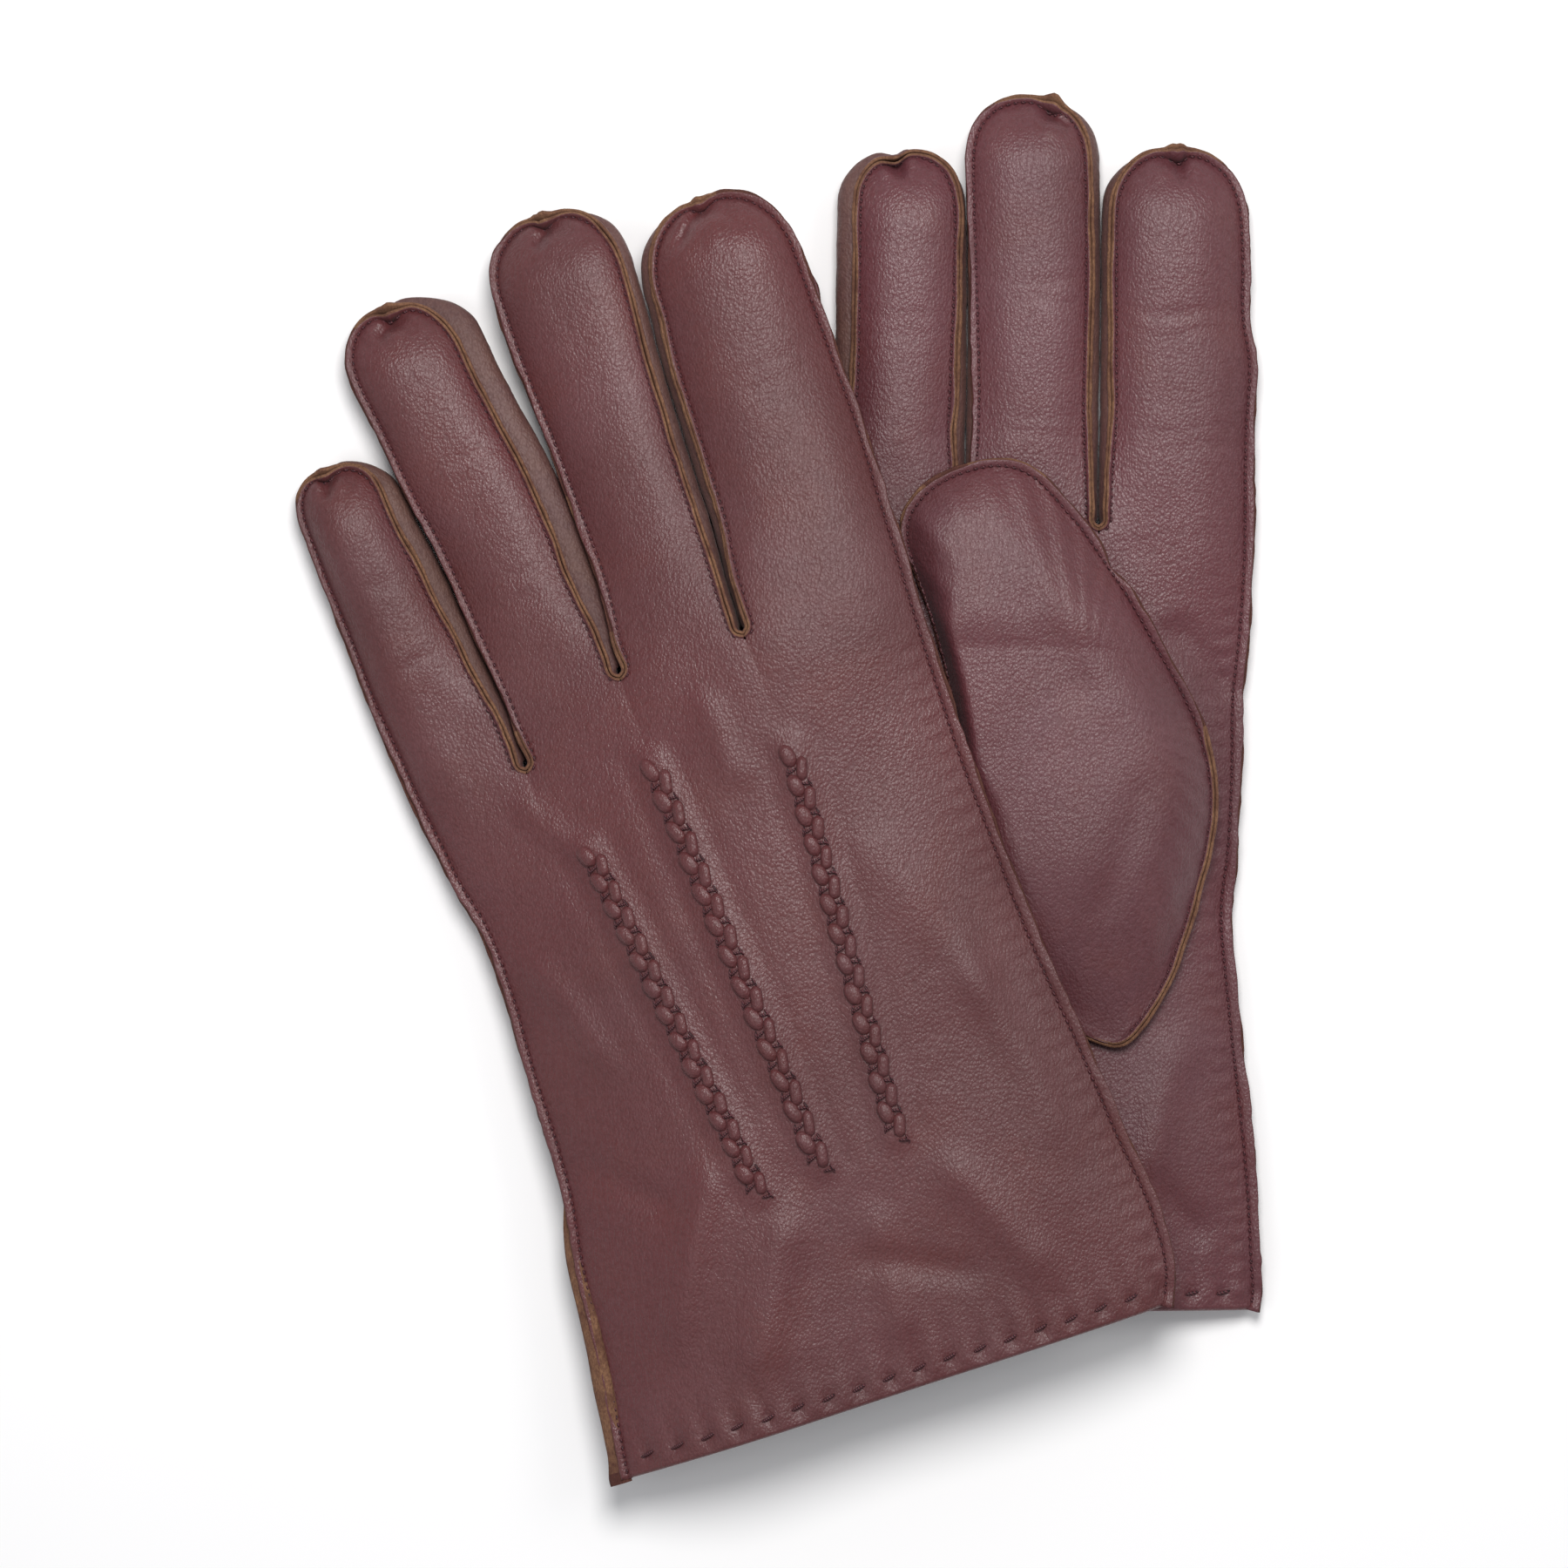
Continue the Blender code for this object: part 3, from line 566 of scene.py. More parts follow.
class Nodes:
    """Builds a material's node tree."""

    def __init__(self, name):
        self.material = bpy.data.materials.new(name)
        self.material.use_nodes = True
        self.tree = self.material.node_tree
        self.shader = self.tree.nodes["Principled BSDF"]
        self.place = self.add("ShaderNodeTexCoord").outputs["Object"]

    def add(self, kind, inputs=None, **settings):
        node = self.tree.nodes.new(kind)
        for key, value in settings.items():
            setattr(node, key, value)
        for key, value in (inputs or {}).items():
            self.set(node.inputs[key], value)
        return node

    def set(self, socket, value):
        if isinstance(value, bpy.types.NodeSocket):
            self.tree.links.new(value, socket)
        else:
            socket.default_value = value

    def stretched(self, scale, turn=0.0):
        node = self.add("ShaderNodeMapping", {"Vector": self.place})
        node.inputs["Scale"].default_value = scale
        node.inputs["Rotation"].default_value = (0, 0, turn)
        return node.outputs["Vector"]

    def noise(self, scale, detail=2.0, roughness=0.5, vector=None, distortion=0.0):
        inputs = {"Vector": vector or self.place, "Scale": scale, "Detail": detail}
        inputs.update({"Roughness": roughness, "Distortion": distortion})
        return self.add("ShaderNodeTexNoise", inputs).outputs["Fac"]

    def cells(self, scale, feature="F1", vector=None):
        inputs = {"Vector": vector or self.place, "Scale": scale}
        return self.add("ShaderNodeTexVoronoi", inputs, feature=feature).outputs["Distance"]

    def wave(self, scale, direction, distortion, detail=2.0):
        inputs = {"Vector": self.place, "Scale": scale, "Distortion": distortion, "Detail": detail}
        return self.add("ShaderNodeTexWave", inputs, bands_direction=direction).outputs["Fac"]

    def span(self, value, low, high, to_low=0.0, to_high=1.0):
        inputs = {"Value": value, "From Min": low, "From Max": high, "To Min": to_low, "To Max": to_high}
        return self.add("ShaderNodeMapRange", inputs).outputs["Result"]

    def math(self, operation, a, b=0.0):
        node = self.add("ShaderNodeMath", operation=operation)
        self.set(node.inputs[0], a)
        self.set(node.inputs[1], b)
        return node.outputs[0]

    def blend(self, factor, a, b):
        node = self.add("ShaderNodeMix", data_type="RGBA", blend_type="MIX")
        self.set(node.inputs[0], factor)
        self.set(node.inputs[6], a)
        self.set(node.inputs[7], b)
        return node.outputs[2]

    def relief(self, height, strength, distance, normal=None):
        node = self.add("ShaderNodeBump", {"Height": height, "Strength": strength, "Distance": distance})
        if normal:
            self.set(node.inputs["Normal"], normal)
        return node.outputs["Normal"]

    def finish(self, **values):
        for key, value in values.items():
            self.set(self.shader.inputs[key.replace("_", " ").title().replace("Ior", "IOR")], value)
        return self.material


def rgb(code):
    """Linear colour from a hex code."""
    parts = [int(code[i : i + 2], 16) / 255 for i in (0, 2, 4)]
    return tuple(p / 12.92 if p <= 0.04045 else ((p + 0.055) / 1.055) ** 2.4 for p in parts) + (1.0,)


def leather_material(name, base, dark, warm, light, roughness=0.41, turn=0.0):
    """Fine-grained nappa: uneven dye, small pebbles, hair creases and a satin shine."""
    n = Nodes(name)
    broad = n.noise(20.0, 1.0, 0.5)
    patch = n.noise(60.0, 3.0, 0.6, distortion=0.4)
    fine = n.noise(900.0, 2.0, 0.6)
    colour = n.blend(n.span(broad, 0.36, 0.66, 0.0, 0.4), base, dark)
    colour = n.blend(n.span(patch, 0.48, 0.74, 0.0, 0.4), colour, warm)
    colour = n.blend(n.span(n.noise(34.0, 2.0), 0.52, 0.8, 0.0, 0.25), colour, light)
    pebbles = n.cells(1800.0, vector=n.stretched((1.0, 0.78, 1.0), turn))
    small = n.cells(3300.0)
    lines = n.cells(900.0, "DISTANCE_TO_EDGE", n.stretched((1.0, 0.4, 1.0), turn + 0.5))
    cracks = n.span(lines, 0.0, 0.09, 0.0, 1.0)
    pits = n.span(pebbles, 0.25, 0.75, 1.0, 0.0)
    colour = n.blend(n.span(pits, 0.0, 0.45, 0.22, 0.0), colour, dark)
    colour = n.blend(n.span(cracks, 0.0, 1.0, 0.16, 0.0), colour, dark)
    colour = n.blend(n.span(fine, 0.3, 0.8, 0.0, 0.25), colour, light)
    small_height = n.math("MULTIPLY", n.span(small, 0.1, 0.6, 0.35, 0.0), 0.6)
    height = n.math("ADD", n.math("MULTIPLY", pits, 0.7), small_height)
    height = n.math("ADD", height, n.math("MULTIPLY", cracks, 0.35))
    rough = n.math("ADD", n.span(broad, 0.3, 0.7, roughness - 0.06, roughness + 0.05),
                   n.span(pits, 0.0, 0.5, 0.1, 0.0))
    wrinkle = n.noise(150.0, 3.0, 0.6, vector=n.stretched((1.0, 0.55, 1.0), turn), distortion=0.8)
    normal = n.relief(wrinkle, 0.22, 0.0006)
    normal = n.relief(height, 0.5, 0.00017, normal)
    return n.finish(base_color=colour, roughness=rough, normal=normal, specular_ior_level=0.5,
                    sheen_weight=0.06, sheen_roughness=0.4)


def raw_material(name, dark, light, stained=0.75):
    """The cut edge and flesh side: tan fibres, stained by the dye."""
    n = Nodes(name)
    fibres = n.noise(2600.0, 3.0, 0.7, vector=n.stretched((1.0, 0.5, 1.4)))
    stain = n.noise(190.0, 3.0, 0.7)
    colour = n.blend(n.span(fibres, 0.3, 0.75), dark, light)
    colour = n.blend(n.span(stain, 0.42, 0.72, 0.0, stained), colour, rgb("4a2a26"))
    normal = n.relief(fibres, 0.8, 0.0002)
    return n.finish(base_color=colour, roughness=0.85, normal=normal, specular_ior_level=0.2)


def thread_material(name, dark, light):
    """Twisted waxed thread."""
    n = Nodes(name)
    twist = n.wave(900.0, "DIAGONAL", 1.0)
    colour = n.blend(n.span(twist, 0.2, 0.8), dark, light)
    normal = n.relief(twist, 0.5, 0.0001)
    return n.finish(base_color=colour, roughness=0.6, normal=normal, specular_ior_level=0.35)


def knit_material(name):
    """Fine brown jersey: columns of small stitches."""
    n = Nodes(name)
    height = n.math("MULTIPLY", n.wave(260.0, "X", 0.6, 1.0), n.wave(330.0, "Y", 0.8, 1.0))
    fuzz = n.noise(1800.0, 3.0, 0.7)
    colour = n.blend(n.span(height, 0.0, 0.7), rgb("4b3128"), rgb("8a6552"))
    colour = n.blend(n.span(fuzz, 0.4, 0.8, 0.0, 0.4), colour, rgb("a07b66"))
    normal = n.relief(n.math("ADD", height, n.math("MULTIPLY", fuzz, 0.3)), 0.9, 0.0004)
    return n.finish(base_color=colour, roughness=0.95, normal=normal, sheen_weight=0.25, sheen_roughness=0.5)


LEATHER_COLOURS = {  # base, dark, warm, light
    "left": ("5a292b", "401d1c", "602c27", "704a4f"),
    "right": ("5c2d32", "432124", "602f2c", "755159"),
    "gap": ("5b3a38", "392220", "6b4a3a", "7a5b4f"),
}


def leather_colours(where):
    return [rgb(code) for code in LEATHER_COLOURS[where]]


LEATHER = {
    "left": leather_material("left_leather", *leather_colours("left"), turn=LEFT["turn"]),
    "right": leather_material("right_leather", *leather_colours("right")),
}
GAP_LEATHER = leather_material("fourchette_leather", *leather_colours("gap"), roughness=0.6)
RAW = raw_material("raw_edge", rgb("5a3c30"), rgb("8f6a4f"))
# A darker copy of the cut edge with more dye stain: painted shade for cut edges that lie flat and for the
# turned allowance's underside.
STAINED_PAINTED_SHADE_RAW = raw_material("stained_painted_shade_edge", rgb("3f2523"), rgb("6b4538"), 0.9)
THREAD = thread_material("burgundy_thread", rgb("2a1216"), rgb("5d3238"))
KNIT = knit_material("knitted_lining")


# ---------------------------------------------------------------- panels

RIM = 0.9  # radius of the folded hem
HEM = 13.0  # how far the leather is turned in
ROUND_PART = 15.0  # of a strip's end, with its rows closer together towards the tip
ROW_START, ROW_STEP = 1.8, 0.95
ROWS_MEET = ROW_START + ROW_STEP * 145  # every strip has the same rows up to here, so that they join
STRIP_CELLS = 34
PANEL_SPLIT = 10.0  # before its hinge, where a sheath's own piece starts
TURNED_ROWS = 20  # more than the rows inside the cuff, which stay with the hand
HALF_CLEAR = 0.06  # that the two faces keep from the middle between them


def strip_rows(glove, k):
    """Rows of a finger strip: (along, drop from the outer surface), from inside the cuff to the fingertip."""
    inside = [(b, 2 * RIM) for b in (HEM, 9.0, 5.5, 3.0)]
    rim = [(RIM - RIM * math.sin(t), RIM - RIM * math.cos(t)) for t in np.linspace(math.pi, 0, 9)]
    end = tip_of(glove, k)
    straight = np.arange(ROW_START, ROWS_MEET, ROW_STEP)
    beyond = np.linspace(ROWS_MEET, end - ROUND_PART, int((end - ROUND_PART - ROWS_MEET) / ROW_STEP))
    tip = rows_to_tip(end, 34)[1:]
    return np.array(inside + rim + [(b, 0.0) for b in np.concatenate([straight, beyond, tip])])


def rows_to_tip(end, count):
    """Places along the round part, closer together towards its end."""
    rows = end - ROUND_PART + ROUND_PART * np.sin(np.linspace(0, math.pi / 2, count))
    rows[-1] = end - 0.01
    return rows


def strip_points(glove, k, upper):
    """The points of one finger's strip of a panel, and each row's distance along."""
    rows = strip_rows(glove, k)
    b = np.repeat(rows[:, :1], STRIP_CELLS + 1, axis=1)
    drop = rows[:, 1:2]
    across = np.sin(np.linspace(-1, 1, STRIP_CELLS + 1) * math.pi / 2 * 0.8) / math.sin(math.pi * 0.4)
    u = np.repeat(across[None], len(rows), axis=0)
    a = mix(edge(glove, k, -1, b), edge(glove, k, 1, b), (u + 1) / 2)
    top, bottom = top_surface(glove, k, u, b), bottom_surface(glove, k, u, b)
    middle = (top + bottom) / 2
    if upper:
        z = np.maximum(top - drop, np.minimum(top, middle + HALF_CLEAR))
    else:
        z = np.minimum(bottom + drop, middle - HALF_CLEAR)
    return place(glove, a, b, z), rows[:, 0]


def panel_strips(glove, upper):
    """A panel's welded points and quads, and for each quad 0 for the hand or k + 1 for a finger's sheath."""
    all_points, all_faces, owners = [], [], []
    start = 0
    for k in range(4):
        points, along = strip_points(glove, k, upper)
        faces, _ = ring_strip(points, closed=False, flip=not upper)
        row = np.repeat(np.arange(len(along) - 1), STRIP_CELLS)
        middle = (along[row] + along[row + 1]) / 2
        hinge = glove["hinges"][k]
        split = math.inf if hinge is None else hinge - PANEL_SPLIT
        owners.append(np.where((middle > split) & (row > TURNED_ROWS), k + 1, 0))
        all_points.append(points.reshape(-1, 3))
        all_faces.append(faces + start)
        start += len(all_points[-1])
    points, faces = weld(np.concatenate(all_points), np.concatenate(all_faces), 2e-6)
    return points, faces, np.concatenate(owners)


def panel(glove, upper):
    """A glove's back or palm: the hand's piece and each sheath, with shared normals where they join."""
    points, faces, owners = panel_strips(glove, upper)
    normals = vertex_normals(points, faces)
    face_name = "back" if upper == (glove is LEFT) else "palm"
    for owner in np.unique(owners):
        used, index = np.unique(faces[owners == owner], return_inverse=True)
        corners = [tuple(dict.fromkeys(f)) for f in index.reshape(-1, 4).tolist()]
        corners = [f for f in corners if len(f) > 2]
        part = "hand" if owner == 0 else FINGER_NAMES[owner - 1]
        name = f"{glove['name']}_{part}_{face_name}"
        obj = make_object(f"{name}_leather", points[used], corners, [LEATHER[glove["name"]]],
                          normals=normals[used])
        follow(obj, glove, None if owner == 0 else owner - 1)
        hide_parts(name)


# ---------------------------------------------------------------- seams


def resample(values, spacing):
    """Rows (n, m) at equal steps of the first two columns' length."""
    values = np.asarray(values, float)
    steps = np.hypot(*np.diff(values[:, :2], axis=0).T)
    length = np.concatenate([[0], np.cumsum(steps)])
    keep = np.concatenate([[True], steps > 1e-9])
    at = np.linspace(0, length[-1], max(2, int(round(length[-1] / spacing)) + 1))
    return np.stack([np.interp(at, length[keep], values[keep, i]) for i in range(values.shape[1])], axis=1)


def resample_to(path, count):
    """The same path with another number of points."""
    at = np.linspace(0, len(path) - 1, count)
    return np.stack([np.interp(at, np.arange(len(path)), path[:, i]) for i in range(path.shape[1])], axis=1)


def softened(values, times=2):
    """Rows smoothed along their path, with both ends kept."""
    values = values.copy()
    for _ in range(times):
        values[1:-1] = (values[:-2] + 2 * values[1:-1] + values[2:]) / 4
    return values


# Degrees that each finger's cut edges stand up from flat, on its two sides.
STANDING = {
    "left": ((18, 64), (16, 66), (15, 66), (46, 14)),
    "right": ((16, 30), (58, 60), (14, 60), (58, 12)),
}


def crotch_beside(glove, k, side):
    """Where along the glove a finger parts from its neighbour."""
    return crotch(glove, boundary_beside(k, side))[0]


def lip_angle(glove, k, side, b):
    """Degrees that the cut edges stand up along one side, the same on both sides at the tip."""
    own = STANDING[glove["name"]][k][(side + 1) // 2]
    if open_side(k, side):
        own = mix(72.0, own, ease((b - crotch_beside(glove, k, side)) / 14.0))
    both = sum(STANDING[glove["name"]][k]) / 2
    return mix(own, both, ease((b - tip_of(glove, k) + 6) / 6))


def lip_length(glove, k, side, b):
    """How far the cut edges reach past the stitch line."""
    if open_side(k, side):
        return mix(1.0, 1.75, ease((b - crotch_beside(glove, k, side)) / 5.0))
    return HAND_LIP[side] * (1 - 0.2 * ease((b - 150) / 40))


def finger_path(glove, k, upper):
    """The stitch line round one finger: rows of (across, along, height, side, lip angle, lip length)."""
    end = tip_of(glove, k)
    surface = top_surface if upper else bottom_surface
    gather = GATHERS[glove["name"]][k]
    halves = []
    for side in (-1, 1):
        start = crotch_beside(glove, k, side) if open_side(k, side) else 0.0
        b = np.concatenate([np.arange(start, end - ROUND_PART, 0.5), rows_to_tip(end, 60)])
        u = np.full_like(b, float(side))
        a = edge(glove, k, side, b)
        angle = lip_angle(glove, k, side, b)
        length = lip_length(glove, k, side, b)
        if gather is not None:
            away = np.hypot(a - gather[0][0], b - gather[0][1])
            length = length + 2.3 * np.exp(-((away / 1.6) ** 2)) * upper
            angle = angle + 26 * np.exp(-((away / 4.0) ** 2))
        rows = np.stack([a, b, surface(glove, k, u, b), u, angle, length], axis=1)
        halves.append(rows if side < 0 else rows[::-1])
    path = resample(np.concatenate(halves), 0.8)
    path[:, 4] = softened(path[:, 4:5], 8)[:, 0]
    return np.concatenate([softened(path[:, :3], 2), path[:, 3:]], axis=1)


def outward(path):
    """Unit directions in the plan, away from the finger and along its path, which runs clockwise."""
    tangent = np.gradient(path[:, :2], axis=0)
    tangent /= np.maximum(np.linalg.norm(tangent, axis=1, keepdims=True), 1e-9)
    return np.stack([-tangent[:, 1], tangent[:, 0]], axis=1), tangent
LAYER = 0.66  # thickness of one leather layer in a seam
LAYER_GAP = 0.05
LIP_ROOT = 0.6  # how far inside the stitch line the cut edges start
LIP_CORNER = 0.14  # rounding of a cut edge
SEAM_DROP = 0.72  # from the panel's face down to the middle of the seam
DYED_FACE = (4, 5)  # columns of lip_rings' quads that show the dyed face of the leather


def lip_rings(path, layer):
    """Cross sections of one layer of a seam's cut edges: layer 1 is the panel's, -1 the side strip's."""
    out, _ = outward(path)
    noise = NOISE["left"]
    wave = noise(path[:, 0] * 1.3 + 40 * layer, path[:, 1] * 1.3, 2.6)
    angle = np.radians(path[:, 4] + layer * 5.0 + 9.0 * noise(path[:, 0], path[:, 1] + 70, 6.0))
    uneven = noise(path[:, 0] * 1.1, path[:, 1] * 1.1 + 25 * layer, 9.0)
    length = path[:, 5] * (1 + 0.16 * uneven) + 0.15 * wave - (0.1 if layer < 0 else 0.0)
    cos, sin = np.cos(angle), np.sin(angle)
    near, far = layer * LAYER_GAP / 2, layer * (LAYER_GAP / 2 + LAYER)
    corner = layer * LIP_CORNER
    section = [  # along the lip, through it, and 1 where it follows the cut edge
        (-LIP_ROOT, near, 0),
        (-LIP_CORNER, near, 1),
        (-LIP_CORNER * 0.3, near + layer * 0.05, 1),
        (0.0, near + corner, 1),
        (0.0, far - corner, 1),
        (-LIP_CORNER, far, 1),
        (-LIP_ROOT, far, 0),
    ]
    rings = []
    for d, p, at_end in section:
        along = d + at_end * length
        plan = path[:, :2] + out * (along * cos - p * sin)[:, None]
        rings.append(np.column_stack([plan, path[:, 2] - SEAM_DROP + along * sin + p * cos]))
    rings = np.stack(rings, axis=1)
    ends = [ring.mean(axis=0) + 0.04 * (ring - ring.mean(axis=0)) for ring in (rings[0], rings[-1])]
    return np.concatenate([ends[:1], rings, ends[1:]])


def lips(glove, path, name, layers=(1, -1)):
    """The cut edges along a seam: dyed faces, with tan edges where they stand up and painted shade, a darker
    stained raw colour, where they lie flat.
    """
    points, faces, kinds = [], [], []
    start = 0
    for layer in layers:
        rings = lip_rings(path, layer)
        quads, column = ring_strip(rings, flip=layer < 0)
        points.append(placed(glove, rings))
        faces.append(quads + start)
        row = np.minimum(np.arange(len(quads)) // rings.shape[1], len(path) - 1)
        # cut edges that lie flat get the darker raw colour, which is painted shade
        bare = path[row, 4] + 20 * NOISE["right"](path[row, 0], path[row, 1], 7.0) > 30
        kinds.append(np.where(np.isin(column, DYED_FACE), 0, np.where(bare, 1, 2)))
        start += len(points[-1])
    materials = [LEATHER[glove["name"]], RAW, STAINED_PAINTED_SHADE_RAW]
    return make_object(name, np.concatenate(points), np.concatenate(faces), materials, np.concatenate(kinds))


# A stitch's rings, from end to end: along it in half lengths, its size in radii, and how far it stands up.
CAPSULE = ((-1.0, 0.3, -0.16), (-0.75, 0.85, -0.04), (0.0, 1.0, 0.03), (0.75, 0.85, -0.04), (1.0, 0.3, -0.16))
STITCH_SIDES = 6
STITCH_PITCH, UNDER_PITCH = 1.55, 1.7
STITCH_HALF, STITCH_RADIUS = 0.52, 0.26


def stitch_mesh(centres, directions, ups, half_length, radius):
    """Separate short stitches, their ends sunk into the leather."""
    points, faces = [], []
    ring_angles = np.linspace(0, 2 * math.pi, STITCH_SIDES, endpoint=False)
    across = np.cross(directions, ups)
    corners = np.arange(len(CAPSULE) * STITCH_SIDES).reshape(len(CAPSULE), STITCH_SIDES)
    quads = ring_strip(corners)[0].tolist()
    caps = [corners[0, ::-1].tolist(), corners[-1].tolist()]
    for n in range(len(centres)):
        start = len(points)
        for t, size, sink in CAPSULE:
            c = centres[n] + directions[n] * half_length * t + ups[n] * sink
            for angle in ring_angles:
                points.append(c + (across[n] * math.cos(angle) + ups[n] * math.sin(angle)) * radius * size)
        faces += [[start + corner for corner in face] for face in quads + caps]
    return np.array(points), faces


def seam_stitches(glove, path, name, pitch=STITCH_PITCH, under=False):
    """The outseam's stitches, on the panel layer's face (or on the face below)."""
    out, tangent = outward(path)
    steps = np.concatenate([[0], np.cumsum(np.hypot(*np.diff(path[:, :2], axis=0).T))])
    at = np.arange(pitch, steps[-1] - pitch, pitch)

    def read(column):
        return np.interp(at, steps, column)

    angle = np.radians(read(path[:, 4]) + 5.0)
    o = np.stack([read(out[:, 0]), read(out[:, 1])], axis=1)
    t = np.stack([read(tangent[:, 0]), read(tangent[:, 1]), np.gradient(read(path[:, 2])) / pitch], axis=1)
    t /= np.linalg.norm(t, axis=1, keepdims=True)
    cos, sin = np.cos(angle), np.sin(angle)
    d, p = mix(0.42, 1.0, ease((np.degrees(angle) - 20) / 35)), LAYER_GAP / 2 + LAYER + 0.13
    if under:
        d, p = 0.5, -0.08
    horizontal = d * cos - p * sin
    centre = np.stack([read(path[:, 0]) + o[:, 0] * horizontal, read(path[:, 1]) + o[:, 1] * horizontal,
                       read(path[:, 2]) - SEAM_DROP + d * sin + p * cos], axis=1)
    up = np.stack([-sin * o[:, 0], -sin * o[:, 1], cos], axis=1) * (-1 if under else 1)
    points, faces = stitch_mesh(centre, t, up, STITCH_HALF, STITCH_RADIUS)
    return make_object(name, placed(glove, points), faces, [THREAD])


# Between two fingers: the left one's share of the gap, and how far at most its side strips and the right
# one's swell.
SWELL = {
    "left": ((0.72, 4.6, 1.7), (0.8, 6.0, 1.6), (0.5, 3.0, 3.0)),
    "right": ((0.0, 0.6, 4.4), (0.55, 3.4, 2.8), (0.5, 2.8, 2.8)),
}
SIDE_SEAM_SWELL = 0.4
WALL_ROOT = 0.35  # how far inside the seam a side strip starts


def swell(glove, k, side, b):
    """How far a finger's side strips swell out."""
    if not open_side(k, side):
        return SIDE_SEAM_SWELL
    boundary = boundary_beside(k, side)
    share, left_most, right_most = SWELL[glove["name"]][boundary]
    gap = raw_edge(glove, boundary + 1, -1, b) - raw_edge(glove, boundary, 1, b)
    if side > 0:
        own, most = gap * share - 0.05, left_most
    else:
        own, most = gap * (1 - share) - 0.05, right_most
    fading = ease((tip_of(glove, k) - b + 1) / 9)
    return np.clip(own, 0.05, most) * (0.35 + 0.65 * fading)


def side_wall(glove, k, path, under, name):
    """The side strip below a seam, from the panel on top to the one beneath."""
    out, _ = outward(path)
    bulge = np.where(path[:, 3] < 0, swell(glove, k, -1, path[:, 1]), swell(glove, k, 1, path[:, 1]))
    bulge = softened(bulge[:, None], 4)[:, 0]
    rings = []
    for t in (1 - np.cos(np.linspace(0, math.pi, 12))) / 2:
        reach = (bulge + WALL_ROOT) * math.sin(math.pi * t) ** 0.4 - WALL_ROOT
        ripple = 0.12 * NOISE["right"](path[:, 1] * 1.2 + 30 * k, t * 9 + 50, 2.2)
        plan = mix(path[:, :2], under[:, :2], t) + out * (reach + ripple)[:, None]
        rings.append(np.column_stack([plan, mix(path[:, 2] - 0.5, under[:, 2] + 0.35, t)]))
    rings = np.stack(rings, axis=1)
    quads, _ = ring_strip(rings, closed=False)
    return make_object(name, placed(glove, rings), quads, [GAP_LEATHER])


def finger_seams(glove, k):
    """One finger's side strips, and its two seams with their stitches."""
    tag = f"{glove['name']}_{FINGER_NAMES[k]}"
    upper = finger_path(glove, k, True)
    under = resample_to(finger_path(glove, k, False), len(upper))
    wall = side_wall(glove, k, upper, under, f"{tag}_side_strips")
    low = under.copy()
    low[:, 2] += 1.0
    low[:, 4:] = (4.0, 1.2)  # nearly flat, and short
    pieces = (
        wall,
        lips(glove, upper, f"{tag}_seam_edges"),
        seam_stitches(glove, upper, f"{tag}_seam_stitches"),
        lips(glove, low, f"{tag}_under_seam_edges", layers=(1,)),
        seam_stitches(glove, low, f"{tag}_under_seam_stitches", UNDER_PITCH, under=True),
    )
    for piece in pieces:
        follow(piece, glove, k)
    nodes = [f"{tag}_fourchette_{word}" for word in ("outer", "inner")]
    if glove is RIGHT and k < INDEX:
        nodes.append(f"right_fork_{FINGER_NAMES[k]}_{FINGER_NAMES[k + 1]}")
    nodes = [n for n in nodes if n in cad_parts]
    if nodes:
        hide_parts(*nodes)


# ---------------------------------------------------------------- the left glove's turned seam allowance

ALLOWANCE_TOP = 66.0  # along, where the side seam opens
# The turned edge's section: the share of its width, and the height.
ALLOWANCE_SECTION = (
    (0.0, 0.35), (0.3, 0.85), (0.62, 0.6), (0.9, 0.05), (1.0, -0.2), (0.92, -0.6), (0.55, -0.3), (0.1, -0.3),
)


def turned_allowance():
    """Below the wrist the left glove's side seam opens, and its flesh side turns out."""
    b = np.arange(-0.6, ALLOWANCE_TOP, 0.8)
    stitch = edge(LEFT, LITTLE, -1, np.maximum(b, 0.5))
    noise = NOISE["left"]
    width = 3.5 * ease((ALLOWANCE_TOP - b) / 16) * (1 + 0.16 * noise(b, 0 * b, 9.0)) + 0.1
    width = width + 1.3 * np.exp(-((b / 4.0) ** 2))
    points = []
    for t, lift in ALLOWANCE_SECTION:
        wave = 0.35 * noise(b + 7, 30 * t + 0 * b, 6.0) * t
        points.append(np.stack([stitch + 0.5 - width * t, b, EDGE_TOP - 0.6 + lift + wave], axis=1))
    rings = np.stack(points, axis=1)
    quads, column = ring_strip(rings)
    # the underside and the first rows at the hem get the darker stained raw colour: painted shade
    kinds = np.where((column < 4) | (column == 7), 0, 1)
    kinds[(np.arange(len(quads)) // len(points)) < 3] = 1
    obj = make_object("left_turned_seam_allowance", placed(LEFT, rings), quads, [RAW, STAINED_PAINTED_SHADE_RAW], kinds)
    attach(obj, "left_glove")


# ---------------------------------------------------------------- points on the back

BEADS = 13  # in one column
BEAD_TURN = math.radians(14)
BEAD_CELLS = 9
BEAD_HEIGHT = 1.35
COLUMN_OFF = 1.0  # from the row's middle line to a column's
POINT_THREADS = ((1.0, 0.62), (1.9, 0.35))  # off the middle line, and up: a stitch across, and one along


def half_bead(centre, direction, across, length, width, square):
    """A raised fold of leather: a half ellipsoid, a little square at its ends."""
    points = []
    for t in np.linspace(-1, 1, BEAD_CELLS):
        size = max(0.05, 1 - abs(t) ** square) ** 0.5
        for angle in np.linspace(0, math.pi, BEAD_CELLS):
            point = centre + direction * (t * length / 2) + across * (math.cos(angle) * size * width / 2)
            point[2] += max(0.0, math.sin(angle)) ** 0.8 * size * BEAD_HEIGHT - 0.35
            points.append(point)
    return np.array(points)


